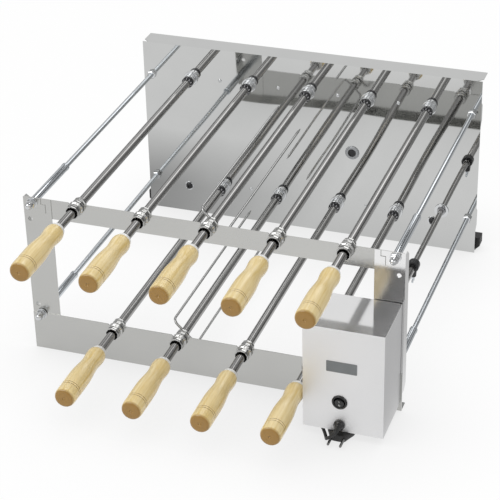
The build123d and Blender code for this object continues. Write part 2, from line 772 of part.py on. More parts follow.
def switch_rocker():
    """The rocker, tipped to its off side, with stub pins that pivot in the bezel's body."""
    pivot = box_front_y + rocker_pivot_depth
    radius = rocker_diameter / 2
    plane = Plane((control_x, pivot, switch_height), x_dir=(0, 1, 0), z_dir=(1, 0, 0))
    side_view = make_face(Polyline((-6.0, 0), (-6.8, radius), (1.0, radius), (4.0, 2.0), (4.0, -2.0),
                                   (1.0, -radius), (-6.8, -radius), close=True))
    body = extrude(plane * side_view, amount=radius, both=True)
    body &= prism(facet_hole(rocker_diameter, 12, control_x, switch_height), pivot - 12, pivot + 8)
    body += extrude(plane * RegularPolygon(1.4, 6), amount=switch_window / 2 - 0.5, both=True)
    return body.rotate(Axis((control_x, pivot, switch_height), (1, 0, 0)), rocker_tilt)


def cable_gland():
    """A domed strain relief: base, nose, shank through the sheet and a nut inside."""
    x, z = control_x, gland_height
    base, nose, shank = gland_diameter / 2, gland_nose / 2, gland_shank / 2
    inside = box_front_y + box_sheet
    profile = [(0, box_front_y - gland_reach), (nose, box_front_y - gland_reach), (base - 1, box_front_y - 5),
               (base, box_front_y - 3), (base, box_front_y), (shank, box_front_y), (shank, inside),
               (base - 0.5, inside), (base - 0.5, inside + 5), (0, inside + 5)]
    return turned(profile, 12, x, z)


# --------------------------------------------------------------- cord and plug
def filleted_route(points, cord):
    """Straight runs joined by tangent arcs, each as large as its runs allow."""
    radii = []
    for before, here, after in zip(points, points[1:], points[2:]):
        run_in, run_out = Vector(*here) - Vector(*before), Vector(*after) - Vector(*here)
        turn = radians(run_in.get_angle(run_out))
        radii.append(0.45 * min(run_in.length, run_out.length) / tan(turn / 2))
    print(cord, "bend radii", [round(r, 1) for r in radii])
    return FilletPolyline(*points, radius=radii)


def cord_section(start, heading):
    """The cord's six-sided section at a point of its path."""
    return Plane(start, z_dir=heading) * RegularPolygon(cord_diameter / 2, 6)


def coil_centre():
    """The coil's axis: its last turn leaves straight towards the plug's tail."""
    return control_x - coil_outer_radius, bottom_rail_y - coil_back_gap - cord_diameter / 2 - coil_outer_radius


def lead_points():
    """The cord from the gland's nose, down beside the plug and back to the coil."""
    cx, cy = coil_centre()
    nose_y = box_front_y - gland_reach
    step = cord_diameter
    return [(control_x, nose_y, gland_height),
            (control_x, nose_y - 1.6 * step, gland_height),
            (control_x - step, nose_y - 2.8 * step, gland_height - step),
            (control_x - 3.4 * step, nose_y - 2.4 * step, gland_height - 3.2 * step),
            (control_x - 4.8 * step, nose_y - 0.4 * step, cord_centre_z),
            (control_x - 5.6 * step, nose_y + 2.8 * step, cord_centre_z),
            (control_x - 7.6 * step, nose_y + 6.6 * step, cord_centre_z),
            (cx - coil_outer_radius, cy - 3.8 * step, cord_centre_z),
            (cx - coil_outer_radius, cy - cord_join_gap, cord_centre_z)]


def cord_lead():
    """The tube of the cord's free stretch."""
    points = lead_points()
    path = filleted_route(points, "cord_lead")
    tube = sweep(cord_section(points[0], (0, -1, 0)), path=path)
    area = 6 * (cord_diameter / 2) ** 2 * sqrt(3) / 4
    print("cord_lead volume / (section x length)", round(tube.volume / (area * path.length), 4))
    return tube


def biarc(start, start_heading, end, end_heading):
    """Two arcs, tangent to each other and to both headings."""
    first, last = Vector(*start), Vector(*end)
    t0, t1 = Vector(*start_heading).normalized(), Vector(*end_heading).normalized()
    span, both = last - first, t0 + t1
    spread = 2 * (1 - t0.dot(t1))
    reach = (sqrt(span.dot(both) ** 2 + 2 * spread * span.dot(span)) - span.dot(both)) / (2 * spread)
    near, far = first + t0 * reach, last - t1 * reach
    joint = (near + far) * 0.5
    return [TangentArc(first, joint, tangent=t0), TangentArc(joint, last, tangent=far - near)]


def coil_path():
    """Quarter turns that spiral in on the floor, climb a layer and spiral out again.

    Each quarter turn is a biarc between points where the heading is square to an
    axis. Its radius follows a steady rate, and the climb takes the half turn in
    which the spiral reverses.
    """
    cx, cy = coil_centre()
    radii = [coil_outer_radius - coil_pitch / 4 * i for i in range(coil_quarters)]
    radii += radii[::-1]
    lower, upper = cord_centre_z, cord_centre_z + coil_layer_rise
    x, y, level, angle = cx - radii[0], cy, lower, pi
    slope = 0.0
    edges = []
    for index, radius in enumerate(radii):
        turned_to = angle - pi / 2
        centre = (x - radius * cos(angle), y - radius * sin(angle))
        next_level, next_slope = level, 0.0
        if index == coil_quarters - 1:
            next_level = (lower + upper) / 2
            next_slope = 1.5 * coil_layer_rise / (pi * radius)
        if index == coil_quarters:
            next_level = upper
        end = (centre[0] + radius * cos(turned_to), centre[1] + radius * sin(turned_to), next_level)
        edges += biarc((x, y, level), (sin(angle), -cos(angle), slope),
                       end, (sin(turned_to), -cos(turned_to), next_slope))
        x, y, level, angle, slope = end[0], end[1], next_level, turned_to, next_slope
    return edges, (x, y, level)


def least_self_gap(edges):
    """The least gap between stretches of the coil at least half a turn apart."""
    samples = [edge @ (k / 15) for edge in edges for k in range(15)]
    apart = 4 * 15
    best = min((first - second).length for i, first in enumerate(samples) for second in samples[i + apart:])
    return best - cord_diameter


def plug_tail_y():
    """Where the plug's tail ends."""
    return front_y - plug_front_reach + plug_length


def cord_coil():
    """The coiled length of cord under the box, with its straight run to the plug."""
    edges, last = coil_path()
    print("cord_coil least self gap", round(least_self_gap(edges), 2))
    path = Wire(edges + [Line(last, (last[0], plug_tail_y() + cord_join_gap, last[2]))])
    tube = sweep(cord_section(edges[0] @ 0, (0, 1, 0)), path=path)
    area = 6 * (cord_diameter / 2) ** 2 * sqrt(3) / 4
    print("cord_coil volume / (section x length)", round(tube.volume / (area * path.length), 4))
    return tube


def plug_body():
    """A flat two-pin plug: narrow nose, wide grip, tapered tail."""
    x = control_x
    nose_y = front_y - plug_front_reach
    tail_y = plug_tail_y()
    wide_y = nose_y + plug_flare
    nose, wide, tail = plug_nose_width / 2, plug_wide_width / 2, plug_tail_width / 2
    outline = Polyline((x - nose, nose_y), (x - wide, wide_y - 4), (x - wide, wide_y), (x - tail, tail_y),
                       (x + tail, tail_y), (x + wide, wide_y), (x + wide, wide_y - 4), (x + nose, nose_y),
                       close=True)
    bottom = floor_gap
    body = extrude(Pos(0, 0, bottom) * make_face(outline), amount=plug_thickness)
    holes = [prism(facet_hole(pin_diameter + 2 * slide_gap, small_sides, px, plug_pin_z()), nose_y - 1,
                   nose_y + pin_root + 0.5) for px in plug_pin_xs()]
    return body - holes


def plug_pin_xs():
    """The two pins' X places."""
    return [control_x - pin_spacing / 2, control_x + pin_spacing / 2]


def plug_pin_z():
    """The pins' height above the floor."""
    return floor_gap + plug_thickness / 2


def plug_pins():
    """Two round pins with chamfered ends."""
    nose_y = front_y - plug_front_reach
    radius = pin_diameter / 2
    pins = [turned([(0, nose_y - pin_length), (radius - 0.7, nose_y - pin_length),
                    (radius, nose_y - pin_length + 1.5), (radius, nose_y + pin_root), (0, nose_y + pin_root)],
                   small_sides, x, plug_pin_z()) for x in plug_pin_xs()]
    return Compound(children=pins)


# ------------------------------------------------------------------- the grill
def gear_angles():
    """Each gear's tooth direction, worked out along the train from the drive pinion."""
    angles = {"drive": 90.0}
    last = len(lower_x) - 1
    angles[("lower", last)] = meshed_angle(drive_centre, pinion_teeth, angles["drive"],
                                           (lower_x[last], lower_axis), gear_teeth)

    def follow(tier, places, axis_z, start, step):
        here = start
        while 0 <= here + step < len(places):
            angle = angles[(tier, here)]
            angles[(tier, here + step)] = meshed_angle((places[here], axis_z), gear_teeth, angle,
                                                       (places[here + step], axis_z), gear_teeth)
            here += step

    follow("lower", lower_x, lower_axis, last, -1)
    angles["idler"] = meshed_angle((lower_x[2], lower_axis), gear_teeth, angles[("lower", 2)],
                                   idler_centre, idler_teeth)
    angles[("upper", 3)] = meshed_angle(idler_centre, idler_teeth, angles["idler"],
                                        (upper_x[3], upper_axis), gear_teeth)
    follow("upper", upper_x, upper_axis, 3, -1)
    follow("upper", upper_x, upper_axis, 3, 1)
    return angles


def build():
    """Every sub-part of the grill under its own name."""
    angles = gear_angles()
    parts = {}
    tiers = (("upper", upper_x, upper_axis, top_rail_y, upper_fork),
             ("lower", lower_x, lower_axis, bottom_rail_y, lower_fork))
    for tier, places, axis_z, rail_y, fork_at in tiers:
        for i, x in enumerate(places):
            name = f"{tier}_{i + 1}"
            parts[f"{name}_handle"] = handle(x, axis_z)
            parts[f"{name}_rod"] = rod(x, axis_z, i == fork_at)
            parts[f"{name}_bushing"] = bushing(x, axis_z, rail_y)
            parts[f"{name}_socket_gear"] = socket_gear(x, axis_z, angles[(tier, i)])
    parts["idler_gear"] = idler_gear(*idler_centre, angles["idler"])
    parts["drive_rod"] = drive_rod(angles["drive"])
    parts["drive_tube"] = drive_tube()
    parts["shaft_clamp"] = shaft_clamp()
    parts["front_top_rail"] = front_top_rail()
    parts["front_bottom_rail"] = front_bottom_rail()
    parts["front_left_column"] = front_column(-1)
    parts["front_right_column"] = front_column(1)
    parts["rear_panel"] = rear_panel()
    parts["bearing_carrier"] = bearing_carrier()
    parts["back_plate"] = back_plate()
    parts["end_bumpers"] = end_bumpers()
    parts["tie_rods"] = tie_rods()
    parts["nuts_and_screws"] = nuts_and_screws()
    parts["motor_box"] = motor_box()
    parts["motor_plate"] = motor_plate()
    parts["gear_motor"] = gear_motor()
    parts["switch_bezel"] = switch_bezel_ring()
    parts["switch_rocker"] = switch_rocker()
    parts["cable_gland"] = cable_gland()
    parts["cord_lead"] = cord_lead()
    parts["cord_coil"] = cord_coil()
    parts["plug_body"] = plug_body()
    parts["plug_pins"] = plug_pins()
    return parts


os.makedirs("parts", exist_ok=True)
for name, shape in build().items():
    export_step(shape, f"parts/{name}.step")
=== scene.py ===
"""Looks of an electric skewer grill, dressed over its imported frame. Metres, +Z up, +Y to the rear."""

import logging
from dataclasses import dataclass
from enum import Enum
from math import copysign, cos, pi, radians, sin, sqrt
from typing import Iterable, Sequence, Union

import bmesh
import bpy
from mathutils import Matrix, Vector


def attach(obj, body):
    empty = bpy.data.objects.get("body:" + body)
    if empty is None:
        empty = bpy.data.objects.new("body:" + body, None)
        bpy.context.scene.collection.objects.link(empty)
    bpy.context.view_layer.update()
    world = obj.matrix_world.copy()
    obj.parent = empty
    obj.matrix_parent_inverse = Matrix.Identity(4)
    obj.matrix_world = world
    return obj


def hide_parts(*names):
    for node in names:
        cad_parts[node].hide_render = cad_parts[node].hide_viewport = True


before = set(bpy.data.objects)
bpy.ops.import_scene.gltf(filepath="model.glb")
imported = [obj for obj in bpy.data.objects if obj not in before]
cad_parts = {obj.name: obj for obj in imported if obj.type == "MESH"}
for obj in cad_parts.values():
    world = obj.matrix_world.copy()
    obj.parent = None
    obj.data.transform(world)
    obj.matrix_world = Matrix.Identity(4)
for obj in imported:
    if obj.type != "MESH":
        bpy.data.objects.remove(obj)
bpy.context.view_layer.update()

LOG = logging.getLogger("skewer_grill")
MM = 0.001
NOTHING = 1e-6
MERGE_DISTANCE = 1e-7
# The most of a side that a bevel takes, and the angle in degrees from which edges are eased.
LONGEST_CUT = 0.4
EASED_ANGLE = 35.0

# Main planes and sizes of the grill, in millimetres.
FRONT_Y = -165.5
PANEL_Y = 327.5
SHEET = 1.2
HANDLE_REACH = 200.0
RING_FACE = -0.05
RING_SEAT = -1.55
RING_FRONT = -1.85

Point = tuple[float, float, float]
Pair = tuple[float, float]
Profile = Sequence[Pair]
Colour = tuple[float, float, float]
Node, Socket, Tree = bpy.types.Node, bpy.types.NodeSocket, bpy.types.NodeTree
Material, Piece, Corner = bpy.types.Material, bpy.types.Object, bmesh.types.BMVert
Value = Union[Socket, float, Sequence[float]]


class Tier(Enum):
    """The two rows of skewers."""

    UPPER = "upper"
    LOWER = "lower"


class Layout:
    """Where the skewers and shafts stand, in millimetres."""

    pitch = 106.0
    lower_axis = 58.8
    upper_axis = 264.07
    idler = (79.5, 161.435)
    drive = (159.0 + sqrt(82.15**2 - 14.7**2), 73.5)

    @classmethod
    def skewers(cls) -> list[tuple[str, Tier, Pair]]:
        """List the skewers.

        Returns:
            The name, the tier, and the X and Z of each.
        """
        upper = [(f"upper_{i + 1}", Tier.UPPER, ((i - 2) * cls.pitch, cls.upper_axis)) for i in range(5)]
        lower = [(f"lower_{i + 1}", Tier.LOWER, ((i - 1.5) * cls.pitch, cls.lower_axis)) for i in range(4)]
        return upper + lower


# ---- shader nodes
class Wiring:
    """Adds and joins the nodes of one tree."""

    def __init__(self, tree: Tree) -> None:
        """Work on a tree."""
        self.tree = tree

    def fill(self, target: Socket, value: Value) -> None:
        """Link another node's output to a socket, or set the socket's constant.

        Args:
            target: The socket of a node.
            value: Another node's output, or a constant.
        """
        if isinstance(value, Socket):
            self.tree.links.new(value, target)
        else:
            target.default_value = value

    def add(self, kind: str, values: Iterable[tuple[Union[str, int], Value]] = ()) -> Node:
        """Add a shader node.

        Args:
            kind: The node's type, without its usual first word.
            values: Inputs by name or number, each with a socket or a constant.

        Returns:
            The new node.
        """
        node = self.tree.nodes.new(f"ShaderNode{kind}")
        for key, value in values:
            self.fill(node.inputs[key], value)
        return node

    def math(self, operation: str, *values: Value) -> Socket:
        """The result of one operation on sockets or numbers.

        Args:
            operation: The operation's name.
            values: Its sockets or numbers, in order.

        Returns:
            The result.
        """
        node = self.add("Math", enumerate(values))
        node.operation = operation
        return node.outputs[0]

    def ramp(self, value: Socket, low: float, high: float, start: float = 0.0, end: float = 1.0) -> Socket:
        """A value that runs from low to high while another runs from start to end."""
        limits = (("From Min", start), ("From Max", end), ("To Min", low), ("To Max", high))
        return self.add("MapRange", (("Value", value), *limits)).outputs[0]

    def mix(self, share: Socket, low: Value, high: Value, kind: str = "RGBA") -> Socket:
        """A colour or value that runs from low to high with a share.

        Args:
            share: Runs from 0 to 1.
            low: The colour or value at 0.
            high: The colour or value at 1.
            kind: RGBA for colours, FLOAT for values.

        Returns:
            The mixed colour or value.
        """
        node = self.add("Mix")
        node.data_type = kind
        for key, value in (("Factor", share), ("A", low), ("B", high)):
            self.fill(node.inputs[key], value)
        return node.outputs["Result"]

    def blend(self, share: Socket, first: Node, second: Node) -> Node:
        """A mix of two shaders."""
        return self.add("MixShader", ((0, share), (1, first.outputs[0]), (2, second.outputs[0])))

    def axes(self, space: str = "Object") -> bpy.types.NodeOutputs:
        """The X, Y and Z of the shaded place."""
        return self.add("SeparateXYZ", ((0, self.add("TexCoord").outputs[space]),)).outputs


NOISE_INPUTS = ("Along X", "Along Y", "Along Z", "Detail")


def noise_group() -> Tree:
    """Noise with its own scale along each axis, for lines such as brushing marks or for soft patches.

    Returns:
        A group with the noise as its height, and a mask from 0 to 1 with more contrast.
    """
    if "noise" not in bpy.data.node_groups:
        net = Wiring(bpy.data.node_groups.new("noise", "ShaderNodeTree"))
        for way, labels in (("INPUT", NOISE_INPUTS), ("OUTPUT", ("Mask", "Height"))):
            for label in labels:
                net.tree.interface.new_socket(label, in_out=way, socket_type="NodeSocketFloat")
        given = net.tree.nodes.new("NodeGroupInput").outputs
        result = net.tree.nodes.new("NodeGroupOutput").inputs
        scale = net.add("CombineXYZ", [(axis, given[f"Along {axis}"]) for axis in "XYZ"])
        stretch = net.add("VectorMath", ((0, net.add("TexCoord").outputs["Object"]), (1, scale.outputs[0])))
        stretch.operation = "MULTIPLY"
        noise = net.add("TexNoise", (("Vector", stretch.outputs[0]), ("Scale", 1.0),
                                     ("Detail", given["Detail"])))
        net.fill(result["Mask"], net.ramp(noise.outputs["Fac"], 0.0, 1.0, 0.3, 0.7))
        net.fill(result["Height"], noise.outputs["Fac"])
    return bpy.data.node_groups["noise"]


# ---- finishes
def opaque(colour: Colour, factor: float = 1.0) -> tuple[float, ...]:
    """A colour made darker or lighter by a factor, with an alpha of 1."""
    return (*(min(1.0, c * factor) for c in colour), 1.0)


class Finish(Wiring):
    """A material being put together."""

    fine_relief = 0.0004

    def __init__(self, name: str, colour: Colour) -> None:
        """Start a material that is no metal.

        Args:
            name: The material's name.
            colour: Its linear base colour.
        """
        self.material = bpy.data.materials.new(name)
        self.material.use_nodes = True
        super().__init__(self.material.node_tree)
        self.shader = self.tree.nodes["Principled BSDF"]
        self.feed("Base Color", opaque(colour))
        self.feed("Metallic", 0.0)

    def feed(self, name: str, value: Value) -> None:
        """Join a socket to one of the shader's inputs, or set it."""
        self.fill(self.shader.inputs[name], value)

    def lines(self, along: Sequence[float], detail: float) -> tuple[Socket, Socket]:
        """Noise with its own scale along each axis.

        Args:
            along: The scale along X, Y and Z.
            detail: How much finer noise it carries.

        Returns:
            Its mask and its height.
        """
        node = self.add("Group")
        node.node_tree = noise_group()
        for key, value in zip(NOISE_INPUTS, (*along, detail)):
            node.inputs[key].default_value = value
        return node.outputs["Mask"], node.outputs["Height"]

    def patches(self, scale: float, detail: float) -> Socket:
        """Broad soft patches, from 0 to 1."""
        return self.lines((scale, scale, scale), detail)[1]

    def bump(self, height: Socket, strength: float, distance: float = fine_relief) -> None:
        """Feed the shader's normal from a height."""
        values = (("Strength", strength), ("Distance", distance), ("Height", height))
        self.feed("Normal", self.add("Bump", values).outputs[0])


@dataclass(frozen=True)
class Recipe:
    """A finish by name and base colour."""

    name: str
    colour: Colour

    def make(self) -> Material:
        """Build the material.

        Returns:
            The new material.
        """
        finish = Finish(self.name, self.colour)
        self.apply(finish)
        return finish.material

    def apply(self, finish: Finish) -> None:
        """Wire the finish's nodes.

        Args:
            finish: The material that is put together.
        """
        raise NotImplementedError


@dataclass(frozen=True)
class MetalFinish(Recipe):
    """A metal with lines along one axis and soft patches."""

    roughness: Pair
    lines: tuple[float, float, float]
    line_depth: float
    patch: float = 0.06

    def apply(self, finish: Finish) -> None:
        """Wire the finish's nodes."""
        finish.feed("Metallic", 1.0)
        mask, height = finish.lines(self.lines, detail=2.0)
        shades = (opaque(self.colour, 1 - self.patch), opaque(self.colour, 1 + self.patch))
        finish.feed("Base Color", finish.mix(finish.patches(scale=9.0, detail=3.0), *shades))
        finish.feed("Roughness", finish.ramp(mask, *self.roughness))
        finish.bump(height, self.line_depth)


@dataclass(frozen=True)
class MirrorFinish(Recipe):
    """A polished sheet whose slow waves bend what it reflects."""

    wave: float = 0.10
    wave_scale: float = 6.0
    haze: Pair = (0.012, 0.035)

    def apply(self, finish: Finish) -> None:
        """Wire the finish's nodes."""
        finish.feed("Metallic", 1.0)
        haze = finish.patches(scale=26.0, detail=4.0)
        finish.feed("Base Color", finish.mix(haze, opaque(self.colour), opaque(self.colour, factor=0.94)))
        finish.feed("Roughness", finish.ramp(haze, *self.haze))
        finish.bump(finish.patches(self.wave_scale, detail=0.0), self.wave, distance=0.01)


@dataclass(frozen=True)
class CoverFinish(Recipe):
    """A folded sheet: its walls satin, its top, above a height in metres, polished."""

    top: float
    edge: float = 0.0006
    walls: float = 0.46
    polish: float = 0.08
    haze_depth: float = 0.04
    top_metal: float = 0.82

    def apply(self, finish: Finish) -> None:
        """Wire the finish's nodes."""
        haze = finish.patches(scale=16.0, detail=3.0)
        rise = finish.ramp(finish.axes()["Z"], self.walls, self.polish, self.top - self.edge, self.top)
        finish.feed("Roughness", finish.math("MULTIPLY_ADD", haze, self.haze_depth, rise))
        finish.feed("Metallic", finish.ramp(rise, 1.0, self.top_metal, self.walls, self.polish))
        finish.feed("Base Color", finish.mix(haze, opaque(self.colour), opaque(self.colour, factor=0.95)))
        finish.bump(finish.lines(along=(900.0, 900.0, 10.0), detail=2.0)[1], strength=0.01)


@dataclass(frozen=True)
class WoodFinish(Recipe):
    """Varnished turned wood with its grain along Y and darker end grain."""

    deep: Colour
    end: Colour
    end_from: float
    end_to: float

    def apply(self, finish: Finish) -> None:
        """Wire the finish's nodes."""
        grain, height = finish.lines(along=(260.0, 9.0, 260.0), detail=5.0)
        cloud = finish.patches(scale=14.0, detail=2.0)
        sides = finish.mix(grain, opaque(self.colour), opaque(self.deep))
        ends = finish.mix(cloud, opaque(self.end), opaque(self.end, factor=1.35))
        reach = finish.ramp(finish.axes()["Y"], 0.0, 1.0, self.end_from, self.end_to)
        finish.feed("Base Color", finish.mix(reach, sides, ends))
        finish.feed("Roughness", finish.ramp(cloud, low=0.28, high=0.42))
        finish.feed("Coat Weight", 0.5)
        finish.feed("Coat Roughness", 0.12)
        finish.bump(height, strength=0.12)


@dataclass(frozen=True)
class PlasticFinish(Recipe):
    """Moulded plastic or rubber with a fine skin."""

    roughness: Pair
    skin: float = 0.2

    def apply(self, finish: Finish) -> None:
        """Wire the finish's nodes."""
        wear = finish.patches(scale=40.0, detail=3.0)
        gain, lift = 1.6, 0.004
        lighter = (*(c * gain + lift for c in self.colour), 1.0)
        finish.feed("Base Color", finish.mix(wear, opaque(self.colour), lighter))
        finish.feed("Roughness", finish.ramp(wear, *self.roughness))
        finish.bump(finish.patches(scale=900.0, detail=2.0), self.skin, distance=0.0002)


# The handles' front ends, in metres.
HANDLE_TIP = (FRONT_Y - HANDLE_REACH) * MM


class Look(Enum):
    """Every finish of the grill."""

    WOOD = WoodFinish("varnished_wood", (0.93, 0.77, 0.44), (0.75, 0.55, 0.20), (0.28, 0.148, 0.020),
                      HANDLE_TIP + 0.0045, HANDLE_TIP + 0.0008)
    ROD = MetalFinish("drawn_rod", (0.34, 0.335, 0.33), (0.10, 0.14), (420.0, 5.0, 420.0), 0.01)
    FERRULE = PlasticFinish("pale_ferrule", (0.66, 0.66, 0.65), (0.22, 0.32), 0.02)
    CHROME = MetalFinish("bright_chrome", (0.64, 0.65, 0.66), (0.03, 0.07), (60.0, 60.0, 60.0), 0.01)
    DARK_CHROME = MetalFinish("dark_chrome", (0.055, 0.055, 0.058), (0.04, 0.10), (60.0, 60.0, 60.0), 0.02)
    COLLAR = MetalFinish("bushing_chrome", (0.50, 0.50, 0.49), (0.04, 0.12), (160.0, 160.0, 160.0), 0.03,
                         0.18)
    ZINC = MetalFinish("bright_zinc", (0.62, 0.65, 0.68), (0.10, 0.14), (200.0, 6.0, 200.0), 0.01)
    SHEET = MetalFinish("brushed_sheet", (0.53, 0.53, 0.515), (0.16, 0.24), (6.0, 500.0, 900.0), 0.015)
    COVER = CoverFinish("folded_cover", (0.82, 0.82, 0.825), 0.1875)
    # Painted light: the right column wears a brighter, mirror-polished copy of the sheet that the left column
    # and rails wear, for the brighter light it catches.
    POST = MirrorFinish("lit_post_sheet", (0.84, 0.84, 0.84), 0.02, 5.0, (0.09, 0.13))
    WIRE = MetalFinish("fork_wire", (0.48, 0.48, 0.475), (0.12, 0.2), (300.0, 8.0, 300.0), 0.05)
    SCORCH = PlasticFinish("scorched_line", (0.13, 0.065, 0.02), (0.5, 0.6), 0.1)
    PANEL = MirrorFinish("polished_panel", (0.60, 0.605, 0.60))
    STEEL = MetalFinish("machined_steel", (0.42, 0.42, 0.43), (0.25, 0.4), (90.0, 90.0, 90.0), 0.08)
    CAST = MetalFinish("cast_alloy", (0.42, 0.43, 0.44), (0.4, 0.55), (300.0, 300.0, 300.0), 0.2)
    LABEL = PlasticFinish("bare_label", (0.14, 0.15, 0.155), (0.35, 0.45), 0.05)
    BLACK = PlasticFinish("black_plastic", (0.012, 0.012, 0.013), (0.22, 0.36))
    RUBBER = PlasticFinish("black_rubber", (0.014, 0.014, 0.014), (0.42, 0.6), 0.3)
    MARK = PlasticFinish("pale_mark", (0.62, 0.62, 0.60), (0.4, 0.5), 0.02)
    PIN = MetalFinish("plated_pin", (0.22, 0.22, 0.22), (0.2, 0.3), (300.0, 6.0, 300.0), 0.04)

    @property
    def material(self) -> Material:
        """The finish's material, made when it is first asked for."""
        return bpy.data.materials.get(self.value.name) or self.value.make()


# ---- profiles
def shift(base: float, *points: Pair) -> list[Pair]:
    """A profile whose Y values count from a base."""
    return [(radius, base + y) for radius, y in points]


def dome(radius: float, y: float, rise: float, steps: int = 6) -> list[Pair]:
    """A quarter-round profile from a rim at Y to its top at Y + rise."""
    angles = [pi / 2 * k / steps for k in range(steps)]
    return [(radius * cos(a), y + rise * sin(a)) for a in angles] + [(0.0, y + rise)]


def turns(count: int, phase: float = 0.0) -> list[float]:
    """Equal steps of a full turn, in radians."""
    return [phase + 2 * pi * k / count for k in range(count)]


def soften(profile: Profile, size: float) -> list[Pair]:
    """Cut each inner corner of a profile with a short bevel.

    Args:
        profile: The line's points.
        size: The most that a bevel takes of a side.

    Returns:
        The eased line.
    """
    points = [Vector(p) for p in profile]
    out = [tuple(points[0])]
    for before, here, after in zip(points, points[1:], points[2:]):
        back, ahead = before - here, after - here
        if here.x < NOTHING or back.length < NOTHING or ahead.length < NOTHING:
            out.append(tuple(here))
            continue
        reach = min(size, back.length * LONGEST_CUT, ahead.length * LONGEST_CUT)
        first, last = here + back.normalized() * reach, here + ahead.normalized() * reach
        middle = (first + last) * 0.25 + here * 0.5
        out += [tuple(first), tuple(middle), tuple(last)]
    return out + [tuple(points[-1])]


def flowing(profile: Profile, steps: int) -> list[Pair]:
    """A smooth line through the points of a profile.

    Args:
        profile: The line's points.
        steps: Pieces between two points.

    Returns:
        The smooth line.
    """
    points = [Vector(p) for p in profile]
    padded = [points[0] * 2 - points[1]] + points + [points[-1] * 2 - points[-2]]
    out = []
    for p0, p1, p2, p3 in zip(padded, padded[1:], padded[2:], padded[3:]):
        for t in (k / steps for k in range(steps)):
            value = 0.5 * (2 * p1 + (p2 - p0) * t + (2 * p0 - 5 * p1 + 4 * p2 - p3) * t**2
                           + (3 * p1 - p0 - 3 * p2 + p3) * t**3)
            out.append((value.x, value.y))
    return out + [tuple(points[-1])]


# ---- pieces
def stand(name: str, data: bpy.types.ID) -> Piece:
    """Put an object with some data into the scene.

    Args:
        name: The object's name.
        data: Its mesh, curve, camera or light.

    Returns:
        The new object.
    """
    piece = bpy.data.objects.new(name, data)
    bpy.context.scene.collection.objects.link(piece)
    return piece


def ease(piece: Piece, width: float) -> None:
    """Bevel a piece's edges, in millimetres.

    Args:
        piece: The piece.
        width: The bevel's width.
    """
    modifier = piece.modifiers.new("eased_edges", "BEVEL")
    modifier.width = width * MM
    modifier.segments = 2
    modifier.limit_method = "ANGLE"
    modifier.angle_limit = radians(EASED_ANGLE)
    modifier.harden_normals = False


def hand_over(piece: Piece, body: str, replaces: Iterable[str] = ()) -> Piece:
    """Let a piece ride on its body, and stand for its nodes.

    Args:
        piece: The piece.
        body: The body that it rides on.
        replaces: The nodes that it stands for.

    Returns:
        The piece.
    """
    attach(piece, body)
    if replaces:
        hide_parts(*replaces)
    LOG.info("made %s on %s", piece.name, body)
    return piece


def dress(node: str, look: Look, edge: float = 0.0) -> None:
    """Give a carried-over node its finish, and ease its edges where that is set.

    Args:
        node: The node's name.
        look: Its finish.
        edge: The bevel's width in millimetres, or 0 for none.
    """
    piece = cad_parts[node]
    for slot in piece.material_slots:
        slot.link = "OBJECT"
        slot.material = look.material
    if edge:
        ease(piece, edge)


